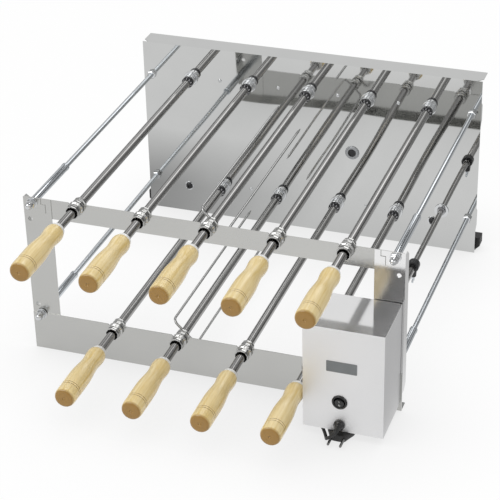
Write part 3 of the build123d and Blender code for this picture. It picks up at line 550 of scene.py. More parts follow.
class Form:
    """A mesh that grows from turned, swept and raised parts, in millimetres."""

    def __init__(self, sharp: float = 32.0) -> None:
        """Start empty; edges that turn more than so many degrees stay crisp."""
        self.mesh = bmesh.new()
        self.sharp = sharp

    def corner(self, x: float, y: float, z: float) -> Corner:
        """Add a corner."""
        return self.mesh.verts.new((x * MM, y * MM, z * MM))

    def skin(self, rings: Sequence[Sequence[Corner]]) -> None:
        """Join neighbouring rings with faces.

        Args:
            rings: Rings of equal count; a point is one corner, repeated.
        """
        for first, second in zip(rings, rings[1:]):
            for k in range(len(first)):
                j = (k + 1) % len(first)
                face = list(dict.fromkeys((first[k], first[j], second[j], second[k])))
                if len(face) > 2:
                    self.mesh.faces.new(face)

    def close(self, rings: Sequence[Sequence[Corner]]) -> "Form":
        """Join neighbouring rings, and cap both ends.

        Args:
            rings: Rings of equal count.

        Returns:
            The form itself.
        """
        self.skin(rings)
        self.mesh.faces.new(rings[0])
        self.mesh.faces.new(rings[-1])
        return self

    def merge(self) -> None:
        """Join corners that share a place."""
        bmesh.ops.remove_doubles(self.mesh, verts=self.mesh.verts, dist=MERGE_DISTANCE)

    def move(self, matrix: Matrix) -> "Form":
        """Move everything made so far."""
        bmesh.ops.transform(self.mesh, matrix=matrix, verts=self.mesh.verts)
        return self

    def turn(self, profile: Profile, spot: Pair, segments: int = 40, eased: float = 0.0,
             phase: float = 0.0) -> "Form":
        """Turn a profile of (radius, y) about a Y axis.

        Args:
            profile: A line of points; a closed one repeats its first point.
            spot: The axis's X and Z.
            segments: Sides of the turned form.
            eased: Size of the bevel at the profile's corners.
            phase: Turns the facets, in radians.

        Returns:
            The form itself.
        """
        x, z = spot
        rings = []
        for radius, y in soften(profile, eased) if eased else profile:
            if radius < NOTHING:
                rings.append([self.corner(x, y, z)] * segments)
            else:
                rings.append([self.corner(x + radius * cos(a), y, z + radius * sin(a))
                              for a in turns(segments, phase)])
        self.skin(rings)
        self.merge()
        return self

    def sweep(self, line: Sequence[Vector], radii: Sequence[float], sides: int, scale: float = MM) -> "Form":
        """Sweep a round section along a line.

        Args:
            line: The line's points.
            radii: The section's radius at each point.
            sides: Sides of the section.
            scale: Metres in one unit of the line and the radii.

        Returns:
            The form itself.
        """
        tangent = (line[1] - line[0]).normalized()
        across = tangent.orthogonal().normalized()
        rings = []
        for i, (point, radius) in enumerate(zip(line, radii)):
            ahead = (line[min(i + 1, len(line) - 1)] - line[max(i - 1, 0)]).normalized()
            across = tangent.rotation_difference(ahead) @ across
            tangent = ahead
            other = tangent.cross(across)
            rings.append([self.mesh.verts.new((point + (across * cos(a) + other * sin(a)) * radius) * scale)
                          for a in turns(sides)])
        return self.close(rings)

    def plate(self, outline: Profile, start: float, end: float) -> "Form":
        """Raise an outline drawn in X and Z from one Y to another."""
        return self.close([[self.corner(x, y, z) for x, z in outline] for y in (start, end)])

    def shaded(self, name: str, material: Material) -> Piece:
        """Turn the form into a smooth-shaded object with crisp edges, and use it up.

        Args:
            name: The object's name.
            material: Its material.

        Returns:
            The new object.
        """
        bmesh.ops.recalc_face_normals(self.mesh, faces=self.mesh.faces)
        mesh = bpy.data.meshes.new(name)
        self.mesh.to_mesh(mesh)
        self.mesh.free()
        for polygon in mesh.polygons:
            polygon.use_smooth = True
        mesh.set_sharp_from_angle(angle=radians(self.sharp))
        mesh.materials.append(material)
        return stand(name, mesh)

    def done(self, name: str, look: Look, body: str, slot: str, replaces: Iterable[str] = ()) -> Piece:
        """Turn the form into a piece and hand it over.

        Args:
            name: The piece's name.
            look: Its finish.
            body: The body that it rides on.
            slot: Not used.
            replaces: The nodes that it stands for.

        Returns:
            The new piece.
        """
        return hand_over(self.shaded(name, look.material), body, replaces)


# ---- the skewers
# Share of the handle's length from its rear end, and share of its full radius.
HANDLE_BODY = ((0.058, 0.72), (0.062, 0.79), (0.075, 0.845), (0.12, 0.885), (0.17, 0.87), (0.24, 0.82),
               (0.29, 0.81), (0.37, 0.86), (0.46, 0.935), (0.54, 0.985), (0.64, 1.00), (0.75, 0.995),
               (0.80, 0.985))
HANDLE_END = ((0.806, 0.982), (0.809, 0.958), (0.814, 0.958), (0.817, 0.98), (0.838, 0.98), (0.841, 0.95),
              (0.847, 0.95), (0.850, 0.98), (0.90, 0.985), (0.945, 0.975), (0.972, 0.94), (0.990, 0.87),
              (0.998, 0.78), (1.00, 0.66), (1.0, 0.16), (0.994, 0.10), (0.985, 0.0))
BURNED_LINES = ((0.8115, 0.966), (0.844, 0.962))
FORKED = ("upper_3", "lower_2")


@dataclass
class Skewer:
    """One skewer with its handle, ferrule, rod, bushing and socket."""

    name: str
    tier: Tier
    spot: Pair
    forked: bool = False
    handle_length: float = 133.0
    handle_radius: float = 16.5
    rod_radius: float = 7.0
    square: float = 7.5
    fork_offset: float = 26.0
    fork_reach: Pair = (22.0, 392.0)
    fork_bend: float = 9.0
    wire_radius: float = 2.0
    tip_radius: float = 0.45
    tip_length: float = 12.0
    groove: float = 1.2

    def build(self) -> None:
        """Make every piece of the skewer."""
        self.make_handle()
        self.make_rod()
        self.make_bushing()
        self.make_socket()
        if self.forked:
            self.make_fork()

    def add(self, form: Form, label: str, look: Look, body: str, slot: str, stands_for: str = "") -> None:
        """Hand a form over, with its piece, body and node named after the skewer."""
        replaces = [f"{self.name}_{stands_for}"] if stands_for else []
        form.done(f"{self.name}_{label}", look, f"{self.name}_{body}", slot, replaces)

    @property
    def rear(self) -> float:
        """The handle's rear end."""
        return FRONT_Y - HANDLE_REACH + self.handle_length

    def make_handle(self) -> None:
        """The turned handle: swell, waist, grip, groove and a domed end with its lathe mark."""
        full, length = self.handle_radius, self.handle_length
        body, end = ([(full * size, self.rear - length * share) for share, size in shape]
                     for shape in (HANDLE_BODY, HANDLE_END))
        profile = shift(self.rear, (4.2, -20), (4.2, -7.7)) + flowing(body, 4) + end
        self.add(Form().turn(profile, self.spot, 44), "grip", Look.WOOD, "skewer", "handle", "handle")
        lines = Form()
        for share, size in BURNED_LINES:
            outer = full * size
            band = shift(self.rear - length * share, (outer - 0.5, -0.45), (outer, -0.4), (outer, 0.4),
                         (outer - 0.5, 0.45))
            lines.turn(band, self.spot, 44)
        self.add(lines, "burned_lines", Look.SCORCH, "skewer", "handle")

    def make_rod(self) -> None:
        """The rod with its square tail in the socket, and the pale ferrule on the handle."""
        end, r, half = PANEL_Y - 26.5, self.rod_radius, self.square / 2
        x, z = self.spot
        profile = shift(self.rear, (0.0, -18), (4.0, -18), (4.0, 1), (r, 1))
        profile += shift(end, (r, -0.5), (r - 0.5, 0), (0.0, 0))
        tail = [(x + half * i, z + half * j) for i, j in ((-1, -1), (1, -1), (1, 1), (-1, 1))]
        form = Form().turn(profile, self.spot, 32).plate(tail, end - 1, PANEL_Y - 8)
        self.add(form, "shank", Look.ROD, "skewer", "rod", "rod")
        ferrule = shift(self.rear, (4.3, -7.6), (11.6, -7.6), (11.8, -6.8), (11.6, -1.5), (11.0, -0.3),
                        (9.6, 0), (7.1, 0.6))
        self.add(Form().turn(ferrule, self.spot, 36, 0.2), "ferrule", Look.FERRULE, "skewer", "fastener")

    def make_fork(self) -> None:
        """The U of wire with two pointed legs."""
        side, bend, steps, rows = self.fork_offset / sqrt(2), self.fork_bend, 8, 12
        start, end = (FRONT_Y + reach for reach in self.fork_reach)
        x, z = self.spot
        first, last = Vector((x - side, start, z + side)), Vector((x + side, start, z - side))
        across, along = (last - first).normalized(), Vector((0, 1, 0))
        leg = [start + bend + (end - start - bend) * k / rows for k in range(rows)]
        leg += [end - self.tip_length, end]
        angles = [pi / 2 * k / steps for k in range(steps + 1)]
        arc = [(bend * (1 - cos(a)), bend * (1 - sin(a))) for a in angles]
        line = [Vector((first.x, y, first.z)) for y in reversed(leg)]
        line += [first + across * u + along * v for u, v in arc[1:]]
        line += [last - across * v + along * u for u, v in arc[:-1]]
        line += [Vector((last.x, y, last.z)) for y in leg]
        radii = [self.tip_radius] + [self.wire_radius] * (len(line) - 2) + [self.tip_radius]
        self.add(Form().sweep(line, radii, 14), "fork", Look.WIRE, "skewer", "rod")

    def make_bushing(self) -> None:
        """The flanged bushing that sits in the notch, with a black ring of painted shade in its mouth."""
        rail = FRONT_Y + SHEET if self.tier is Tier.UPPER else FRONT_Y - SHEET
        mid, g = rail + SHEET / 2, SHEET / 2 + self.groove
        profile = shift(mid, (7.2, 17), (9.4, 17), (10.9, 14.5), (10.9, 10.5), (9.7, 9.3), (9.7, 7.6),
                        (10.9, 6.3), (10.9, g), (9.2, g), (9.2, -g), (12.5, -g), (12.5, -g - 3.2),
                        (10.2, -g - 4.6), (10.2, -9.5), (11.2, -10.5), (11.4, -18), (9.7, -18), (9.7, -12),
                        (7.2, -12), (7.2, 17))
        form = Form(24.0).turn(profile, self.spot, 10, 0.5, pi / 10)
        self.add(form, "collar", Look.COLLAR, "support", "bushing", "bushing")
        # Painted shade: a black rubber ring fills the front of the bore, where the bushing's mouth lies in
        # shadow.
        mouth_shade = shift(mid, (7.3, -12), (9.2, -12), (9.2, -17.4), (8.9, -17.8), (8.7, -17.4), (7.3, -12))
        self.add(Form().turn(mouth_shade, self.spot, 32, 0.2), "mouth_shade", Look.RUBBER, "support", "clamp")

    def make_socket(self) -> None:
        """The socket's dark, glossy mouth, its chrome body, and the pale ring of its bearing."""
        front = PANEL_Y - 25
        cup = shift(front, (5.3, 16), (5.3, 0), (7.3, 0), (9.9, 4), (10.0, 9), (9.65, 10), (9.65, 11.2))
        body = shift(front, (9.65, 11.2), (9.65, 12), (10.0, 13), (10.0, 16.4), (9.7, 17), (9.7, 18),
                     (10.0, 18.6), (9.9, 21.8), (9.55, 22.9))
        self.add(Form().turn(cup, self.spot, 36, 0.5), "cup", Look.DARK_CHROME, "socket", "socket")
        self.add(Form().turn(body, self.spot, 36, 0.5), "cup_body", Look.CHROME, "socket", "socket")
        dress(f"{self.name}_socket_gear", Look.STEEL)
        ring = shift(PANEL_Y, (7.4, RING_SEAT), (7.4, RING_FRONT), (12.2, RING_FRONT), (12.5, -1.3),
                     (12.5, RING_FACE), (12.2, RING_FACE))
        Form().turn(ring, self.spot, 36, 0.15).done(f"{self.name}_washer", Look.CHROME, "grill",
                                                    "fastener")


# ---- ties and nuts
@dataclass
class Ties:
    """Four telescopic tie rods with their washers, nuts and cap nuts, and the small screws."""

    x: float = 285.0
    upper_z: float = 263.0
    lower_z: float = 65.0
    sleeve_reach: float = 125.0
    nut_flats: float = 13.0
    nut_height: float = 6.5
    washer_height: float = 1.6
    bolt_spot: Pair = (224.0, 51.0)

    def build(self) -> None:
        """Make the rods and their fasteners."""
        rods, fasteners = Form(), Form(25.0)
        for side in (-1, 1):
            for z, seat in ((self.upper_z, FRONT_Y), (self.lower_z, FRONT_Y - SHEET)):
                spot = (side * self.x, z)
                self.rod(rods, spot, seat + 2 * SHEET)
                self.front_stack(fasteners, spot, seat)
                self.nut(fasteners, spot, PANEL_Y - self.nut_height)
                self.nut(fasteners, spot, PANEL_Y + 1)
        rods.done("tie_bars", Look.ZINC, "grill", "tie", ["tie_rods"])
        self.screws(fasteners)
        fasteners.done("bolts_and_nuts", Look.CHROME, "grill", "fastener", ["nuts_and_screws"])

    def rod(self, target: Form, spot: Pair, start: float) -> None:
        """One sleeve with its thinner bar.

        Args:
            target: The form that it joins.
            spot: The axis's X and Z.
            start: The Y at which the sleeve begins.
        """
        end = FRONT_Y + self.sleeve_reach
        outline = [(0.0, FRONT_Y - 14), (4.0, FRONT_Y - 14), (4.0, start), (6.0, start)]
        outline += shift(end, (6.0, -6), (6.5, -5), (6.5, -1), (6.0, 0), (4.1, 0), (4.0, -2))
        target.turn(outline, spot, 28, 0.3)
        target.turn([(4.0, end - 3)] + shift(PANEL_Y, (4.0, 9), (3.3, 10), (0.0, 10)), spot, 28)

    def nut(self, target: Form, spot: Pair, start: float) -> None:
        """A hexagon nut with chamfered corners.

        Args:
            target: The form that it joins.
            spot: The axis's X and Z.
            start: The Y of its front face.
        """
        corner, bore, h = self.nut_flats / 2 / cos(pi / 6), 4.1, self.nut_height
        profile = shift(start, (bore, 0), (corner - 1.4, 0), (corner, 0.8), (corner, h - 0.8),
                        (corner - 1.4, h), (bore, h), (bore, 0))
        target.turn(profile, spot, 6, 0.0, 0.25)

    def front_stack(self, target: Form, spot: Pair, seat: float) -> None:
        """A washer, a nut and a domed cap nut.

        Args:
            target: The form that it joins.
            spot: The axis's X and Z.
            seat: The Y of the sheet's face.
        """
        h = self.washer_height
        target.turn(shift(seat, (4.2, 0), (8.5, 0), (8.5, -h), (4.2, -h), (4.2, 0)), spot, 36, 0.25)
        base = seat - h - self.nut_height
        self.nut(target, spot, base)
        target.turn([(5.9, base)] + dome(5.9, base - 3.5, -6.5, 8), spot, 32)

    def screws(self, target: Form) -> None:
        """The dome screws on the panel and the back plate, and the panel's two large bolts.

        Args:
            target: The form that the screws join.
        """
        radius, rise, pitch = 3.25, 1.8, Layout.pitch
        spots = [((i - 1.5) * pitch, Layout.upper_axis + 2) for i in range(4)]
        spots += [((i - 1) * pitch, Layout.lower_axis + 3) for i in range(3)]
        for spot in spots:
            target.turn([(radius, PANEL_Y + 0.5)] + dome(radius, PANEL_Y, -rise), spot, 24)
        bolts = Form(25.0)
        ring = shift(PANEL_Y, (5.6, -0.02), (5.8, -1.0), (7.2, -1.4), (8.4, -0.9), (8.6, -0.02))
        head = shift(PANEL_Y, (5.6, -0.02), (5.6, -2.2), (4.6, -3.0), (2.2, -3.0), (1.9, -1.6), (0.0, -1.6))
        for side in (-1, 1):
            spot = (side * self.bolt_spot[0], self.bolt_spot[1])
            target.turn(ring, spot, 28)
            bolts.turn(head, spot, 28)
        bolts.done("panel_bolts", Look.BLACK, "grill", "fastener")
        middle, back, radius = (Layout.lower_axis + Layout.upper_axis) / 2, PANEL_Y + 31, 3.8
        for x in (-262.0, -90.1, 169.6, 262.0):
            target.turn([(radius, back - 0.5)] + dome(radius, back, 2), (x, middle), 24)


# ---- frame and panel
@dataclass
class FrameAndPanel:
    """The bent sheets of the front frame, the rear panel and the gear case."""

    sheet_edge: float = 0.2
    casting_edge: float = 0.4
    rubber_edge: float = 0.8

    def build(self) -> None:
        """Dress the carried-over sheets, and add the idler's dark ring with a black disc of painted shade in
        its hole.
        """
        for node in ("front_top_rail", "front_bottom_rail", "front_left_column", "back_plate"):
            dress(node, Look.SHEET, self.sheet_edge)
        # Painted light: the right column gets the brighter copy of the sheet.
        for node, look, edge in (("front_right_column", Look.POST, self.sheet_edge),
                                 ("rear_panel", Look.PANEL, self.sheet_edge),
                                 ("motor_plate", Look.SHEET, 0.0), ("bearing_carrier", Look.STEEL, 0.0),
                                 ("idler_gear", Look.STEEL, 0.0),
                                 ("gear_motor", Look.CAST, self.casting_edge),
                                 ("end_bumpers", Look.RUBBER, self.rubber_edge)):
            dress(node, look, edge)
        ring = shift(PANEL_Y, (7.2, RING_SEAT), (7.2, -2.2), (11.0, -2.2), (12.3, -1.2), (12.3, RING_FACE))
        Form().turn(ring, Layout.idler, 40, 0.2).done("idler_ring", Look.CAST, "grill", "fastener")
        # Painted shade: a black disc fills the ring's bore, standing for the shade inside the idler's hole.
        plug = shift(PANEL_Y, (7.15, -1.6), (7.0, -0.2), (6.2, 0.3), (0.0, 0.3))
        Form().turn(plug, Layout.idler).done("idler_hole_shade", Look.BLACK, "grill", "switch")


# ---- drive shaft
@dataclass
class DriveShaft:
    """The telescopic shaft, its black clamp and its silver thumb screw."""

    tube_end: float = FRONT_Y + 310
    clamp_length: float = 14.0
    clamp_gap: float = 4.0

    def build(self) -> None:
        """Make the tube, collar and thumb screw, and dress the rod."""
        start, end, spot = FRONT_Y - SHEET, self.tube_end, Layout.drive
        tube = [(0.0, start - 14), (5.0, start - 14), (5.0, start), (6.0, start), (6.0, end), (4.7, end),
                (4.7, end - 30)]
        Form().turn(tube, spot, 32, 0.3).done("shaft_tube", Look.ROD, "drive", "drive", ["drive_tube"])
        sleeve = [(4.55, end - 28), (4.6, end + 0.5), (4.6, PANEL_Y - 6.3)]
        Form().turn(sleeve, spot, 32).done("shaft_rod", Look.ROD, "drive", "drive")
        dress("drive_rod", Look.STEEL)
        ring = shift(PANEL_Y, (7.2, RING_SEAT), (7.2, RING_FRONT), (12.4, RING_FRONT), (12.4, RING_FACE))
        Form().turn(ring, spot, 36, 0.2).done("shaft_washer", Look.CHROME, "grill", "fastener")
        length = self.clamp_length
        first = end - length - self.clamp_gap
        collar = shift(first, (6.1, 0), (9.4, 0), (10.0, 1), (10.0, length - 1), (9.4, length), (6.1, length),
                       (6.1, 0))
        Form().turn(collar, spot, 32, 0.5).done("clamp_collar", Look.BLACK, "drive", "clamp", ["shaft_clamp"])
        self.thumb_screw(spot[0], first + length / 2, spot[1] - 9)

    def thumb_screw(self, x: float, y: float, top: float) -> None:
        """A black boss below the collar and a bright screw with a two-eared head.

        Args:
            x: The screw's X.
            y: The screw's Y.
            top: The Z at which the boss leaves the collar.
        """
        line = [Vector((x, y, top - drop)) for drop in (-1, 3, 9, 11, 11.4)]
        boss = Form().sweep(line, (6.2, 5.6, 5.2, 4.9, 4.2), 24)
        boss.done("clamp_boss", Look.BLACK, "drive", "clamp")
        form = Form().sweep([Vector((x, y, top - drop)) for drop in (11, 13, 17)], (2.6, 2.6, 2.6), 16)
        half = ((-2.2, -15), (-5.6, -19.5), (-5.2, -21.6), (-3.2, -22.4), (0, -18.6))
        ears = half + tuple((-a, b) for a, b in reversed(half[:-1]))
        form.close([[form.corner(x + side, y + a, top + b) for a, b in ears] for side in (-1.5, 1.5)])
        ease(form.done("thumb_screw", Look.ZINC, "drive", "fastener"), 0.5)


# ---- motor box
@dataclass
class MotorBox:
    """The folded cover with its bare plate, round switch and cable gland."""

    front: float = FRONT_Y - 95
    right: float = 297.0
    top: float = 188.0
    label: tuple[float, float, float, float] = (233.7, 124.5, 46.0, 18.0)
    switch_spot: Pair = (231.0, 64.0)
    gland_spot: Pair = (231.0, 24.5)
    rocker_pivot: float = 4.0
    rocker_radius: float = 7.0
    rocker_tilt: float = 8.0

    def build(self) -> None:
        """Dress the cover and add what is on it."""
        dress("motor_box", Look.COVER, 0.9)
        self.make_label()
        self.make_seam()
        self.make_bezel()
        self.make_rocker()
        self.make_gland()

    def make_label(self) -> None:
        """A thin bare plate with round corners."""
        x, z, width, height = self.label
        radius, steps = 1.2, 5
        outline = []
        for i, j, start in ((1, 1, 0), (-1, 1, 90), (-1, -1, 180), (1, -1, 270)):
            cx, cz = x + i * (width / 2 - radius), z + j * (height / 2 - radius)
            angles = [radians(start + 90 * k / steps) for k in range(steps + 1)]
            outline += [(cx + radius * cos(a), cz + radius * sin(a)) for a in angles]
        form = Form().plate(outline, self.front - 0.5, self.front - 0.02)
        form.done("bare_plate", Look.LABEL, "grill", "clamp")

    def make_seam(self) -> None:
        """The thin dark mitre where the top's folds meet at the front right corner."""
        steps, inset, reach, radius = 6, 0.6, 12, 0.16
        shares = [inset + reach * k / steps for k in range(steps + 1)]
        line = [Vector((self.right - share, self.front + share, self.top + 0.02)) for share in shares]
        Form().sweep(line, [radius] * len(line), 6).done("cover_seam", Look.BLACK, "grill", "clamp")

    def make_bezel(self) -> None:
        """The switch's round bezel."""
        bezel = shift(self.front, (8.55, 8), (8.55, -1.4), (9.4, -2.3), (10.6, -2.3), (11.6, -1.2),
                      (11.8, -0.02), (9.9, 0.05), (9.9, 15.5), (0.0, 15.5))
        form = Form().turn(bezel, self.switch_spot, 48, 0.25)
        form.done("switch_ring", Look.BLACK, "grill", "switch", ["switch_bezel"])

    def make_rocker(self) -> None:
        """A dished rocker with two small marks, tipped about its pivot."""
        radius, rows, angles, dish = self.rocker_radius, 10, turns(36), 0.9
        form = Form()
        rings = []
        for share in (i / rows for i in range(rows + 1)):
            flat = [(radius * share * cos(a), radius * share * sin(a)) for a in angles]
            rings.append([form.corner(u, -6.6 + dish * (1 - (v / radius) ** 2), v) for u, v in flat])
        rings.append([form.corner(radius * cos(a), 3.0, radius * sin(a)) for a in angles])
        form.skin(rings)
        form.mesh.faces.new(rings[-1])
        form.merge()
        x, z = self.switch_spot
        place = Vector((x, self.front + self.rocker_pivot, z)) * MM
        tip = Matrix.Translation(place) @ Matrix.Rotation(radians(self.rocker_tilt), 4, "X")
        form.move(tip).done("rocker_cap", Look.BLACK, "rocker", "switch", ["switch_rocker"])
        bar = [(-0.25, 2.2), (0.25, 2.2), (0.25, 4.8), (-0.25, 4.8)]
        ring = [(1.3, -6.2), (1.3, -6.62), (0.85, -6.62), (0.85, -6.2)]
        marks = Form().plate(bar, -6.75, -5.9).turn(ring, (0.0, -3.6), 20).move(tip)
        marks.done("rocker_marks", Look.MARK, "rocker", "switch")

    def make_gland(self) -> None:
        """The domed gland that the cord leaves."""
        profile = shift(self.front, (2.6, -10), (4.4, -10), (5.2, -9.2), (6.4, -6), (7.8, -4.6), (8.5, -3),
                        (8.5, -0.02), (6.0, 0.05), (6.0, 1.2), (8.0, 1.3), (8.0, 6.2), (0.0, 6.2))
        form = Form().turn(profile, self.gland_spot, 40, 0.3)
        form.done("gland_dome", Look.BLACK, "grill", "gland", ["cable_gland"])


# ---- cord and plug
# The plug from its nose to its tail: place along it, half width and half thickness.
PLUG_SECTIONS = ((0.0, 11.4, 5.2), (1.2, 12.0, 6.0), (10, 16.0, 6.2), (19.0, 20.6, 6.2), (23, 20.9, 6.2),
                 (25.0, 19.2, 6.2), (29.5, 13.4, 6.0), (34.8, 6.9, 5.6), (36.0, 6.2, 5.0))


@dataclass
class CordAndPlug:
    """The coiled cord under the box and its flat two-pin plug."""

    radius: float = 2.5
    coil_radius: float = 31.0
    coil_pitch: float = 5.7
    layer: float = 5.7
    quarters: int = 9
    x: float = 231.0
    gland_z: float = 24.5
    floor_z: float = 2.6
    relief_length: float = 14.0
    plug_nose: float = FRONT_Y - 105
    plug_tail: float = FRONT_Y - 69
    plug_middle: float = 6.35
    plug_corners: Pair = (0.45, 0.55)
    pin_offset: float = 9.3

    def build(self) -> None:
        """Make the plug and the cord that ends in it."""
        plug = self.make_plug()
        pins = self.make_pins()
        self.make_cord()

    @property
    def centre(self) -> Pair:
        """The coil's axis."""
        return self.x - self.coil_radius, FRONT_Y - SHEET - 3 - self.radius - self.coil_radius

    def lead(self) -> list[Point]:
        """The free stretch from the gland to the coil.

        Returns:
            The points of the route.
        """
        cx, cy = self.centre
        x, y, g, low = self.x, self.plug_nose, self.gland_z, self.floor_z
        return [(x, y, g), (x, y - 7, g), (x - 4, y - 11, g - 6), (x - 14.6, y - 8, g - 16),
                (x - 17, y + 1, low), (x - 24.5, y + 16, low), (x - 35, y + 33, low),
                (cx - self.coil_radius, cy - 19, low)]

    def coil(self, per_quarter: int = 4) -> list[Point]:
        """Points of the turns, in on the floor and out again on top.

        Args:
            per_quarter: Points in a quarter turn.

        Returns:
            The points, in order.
        """
        cx, cy = self.centre
        # The spline passes inside its points, so they lie a little further out than the cord.
        swell = 1 / (0.75 + 0.25 * cos(pi / 2 / per_quarter))
        count = 2 * self.quarters
        points = []
        for q in (k / per_quarter for k in range(count * per_quarter + 1)):
            inward = q if q <= self.quarters else count - q
            r = (self.coil_radius - self.coil_pitch / 4 * max(0.0, inward - 0.5)) * swell
            a = pi - pi / 2 * q
            climb = min(max((q - self.quarters + 1) / 2, 0.0), 1.0)
            z = self.floor_z + self.layer * (3 * climb**2 - 2 * climb**3)
            points.append((cx + r * cos(a), cy + r * sin(a), z))
        return points

    def make_cord(self) -> None:
        """One NURBS line from the gland, through the coil, to the plug.
        """
        top = self.floor_z + self.layer
        tail = [(self.x, self.plug_tail + 14, top), (self.x, self.plug_tail - 2, top)]
        points = self.lead() + self.coil() + tail
        curve = bpy.data.curves.new("power_cord", "CURVE")
        curve.dimensions = "3D"
        spline = curve.splines.new("NURBS")
        spline.points.add(len(points) - 1)
        for knot, point in zip(spline.points, points):
            knot.co = (*(c * MM for c in point), 1)
            knot.radius = self.radius * MM
        spline.order_u = 3
        spline.use_endpoint_u = True
        curve.resolution_u = 6
        line = self.traced(curve)
        curve.bevel_depth = 1.0
        curve.bevel_resolution = 4
        curve.use_fill_caps = True
        curve.materials.append(Look.RUBBER.material)
        piece = hand_over(stand("power_cord", curve), "grill", ["cord_lead", "cord_coil"])
        self.make_relief(line)

    @staticmethod
    def traced(curve: bpy.types.Curve) -> list[Vector]:
        """Read the cord's own line.

        Args:
            curve: The cord, while it has no thickness.

        Returns:
            The line's points in metres, from the gland on.
        """
        probe = bpy.data.objects.new("cord_probe", curve)
        mesh = bpy.data.meshes.new_from_object(probe)
        points = [vertex.co.copy() for vertex in mesh.vertices]
        bpy.data.objects.remove(probe)
        bpy.data.meshes.remove(mesh)
        return points

    def make_relief(self, line: list[Vector]) -> None:
        """The tapered, ringed sleeve that carries the cord out of the gland.

        Args:
            line: The points of the cord's line.
        """
        thick, taper, groove, rings, full = 4.6, 1.5, 0.35, 12, self.relief_length * MM
        kept, radii, span = [line[0]], [thick * MM], 0.0
        for before, point in zip(line, line[1:]):
            span += (point - before).length
            if span > full:
                break
            share = span / full
            kept.append(point)
            radii.append((thick - taper * share - (groove if int(share * rings) % 2 else 0.0)) * MM)
        form = Form(60.0).sweep(kept, radii, 20, 1.0)
        form.done("cord_relief", Look.RUBBER, "grill", "gland")

    def make_plug(self) -> Piece:
        """A flat moulded body: narrow nose, wide grip, tapered tail.

        Returns:
            The plug's body.
        """
        form = Form(50.0)
        rings = []
        wide, deep = self.plug_corners
        for reach, half, thick in PLUG_SECTIONS:
            ring = []
            for c, s in ((cos(a), sin(a)) for a in turns(32)):
                u, v = half * copysign(abs(c) ** wide, c), thick * copysign(abs(s) ** deep, s)
                ring.append(form.corner(self.x + u, self.plug_nose + reach, self.plug_middle + v))
            rings.append(ring)
        return form.close(rings).done("plug_shell", Look.RUBBER, "grill", "plug", ["plug_body"])

    def make_pins(self) -> Piece:
        """Two round pins with domed ends.

        Returns:
            The pins.
        """
        form = Form()
        profile = shift(self.plug_nose, (0.0, -19), (1.0, -18.8), (1.7, -18.2), (2.0, -17.2), (2.0, 7))
        for side in (-1, 1):
            form.turn(profile, (self.x + side * self.pin_offset, self.plug_middle), 24)
        return form.done("contact_pins", Look.PIN, "grill", "pin", ["plug_pins"])


# ---- studio
CAMERA_PLACE = (0.81256, -2.2574, 1.52071)
CAMERA_RIGHT = (0.94523325, 0.3257379, -0.02071031)
CAMERA_UP = (-0.14594297, 0.47855068, 0.86584635)
CAMERA_BACK = (0.2919499, -0.81540423, 0.49988117)
CAMERA_SHIFT = (0.0018, -0.0004)

# Each lamp's name, place, target, size in metres and power in watts.
LAMPS = (("key", (-1.6, -1.9, 2.6), (0, 0, 0.1), 2.2, 42.0),
         ("fill", (2.4, -1.4, 1.6), (0, 0, 0.1), 1.8, 5.0),
         ("rim", (0.3, 1.7, 3.6), (0, 0, 0.1), 1.6, 20.0),
         ("rear_glint", (0.25, 2.7, 2.15), (0, 0, 0.2), 0.9, 4.0),
         ("front_glint", (0.25, -2.5, 2.0), (0, 0.2, 0.2), 0.9, 3.0))

# Brightness of the room by the height of a direction, in front of the grill and behind it.
ROOM_FRONT = ((0.0, 0.90), (0.12, 0.60), (0.24, 0.30), (0.34, 0.80), (0.60, 0.90), (0.70, 0.35), (1.0, 0.50))
ROOM_REAR = ((0.0, 0.80), (0.10, 0.34), (0.26, 0.22), (0.32, 0.84), (0.44, 0.86), (0.555, 0.95), (0.60, 0.30),
             (0.75, 0.25), (1.0, 0.50))


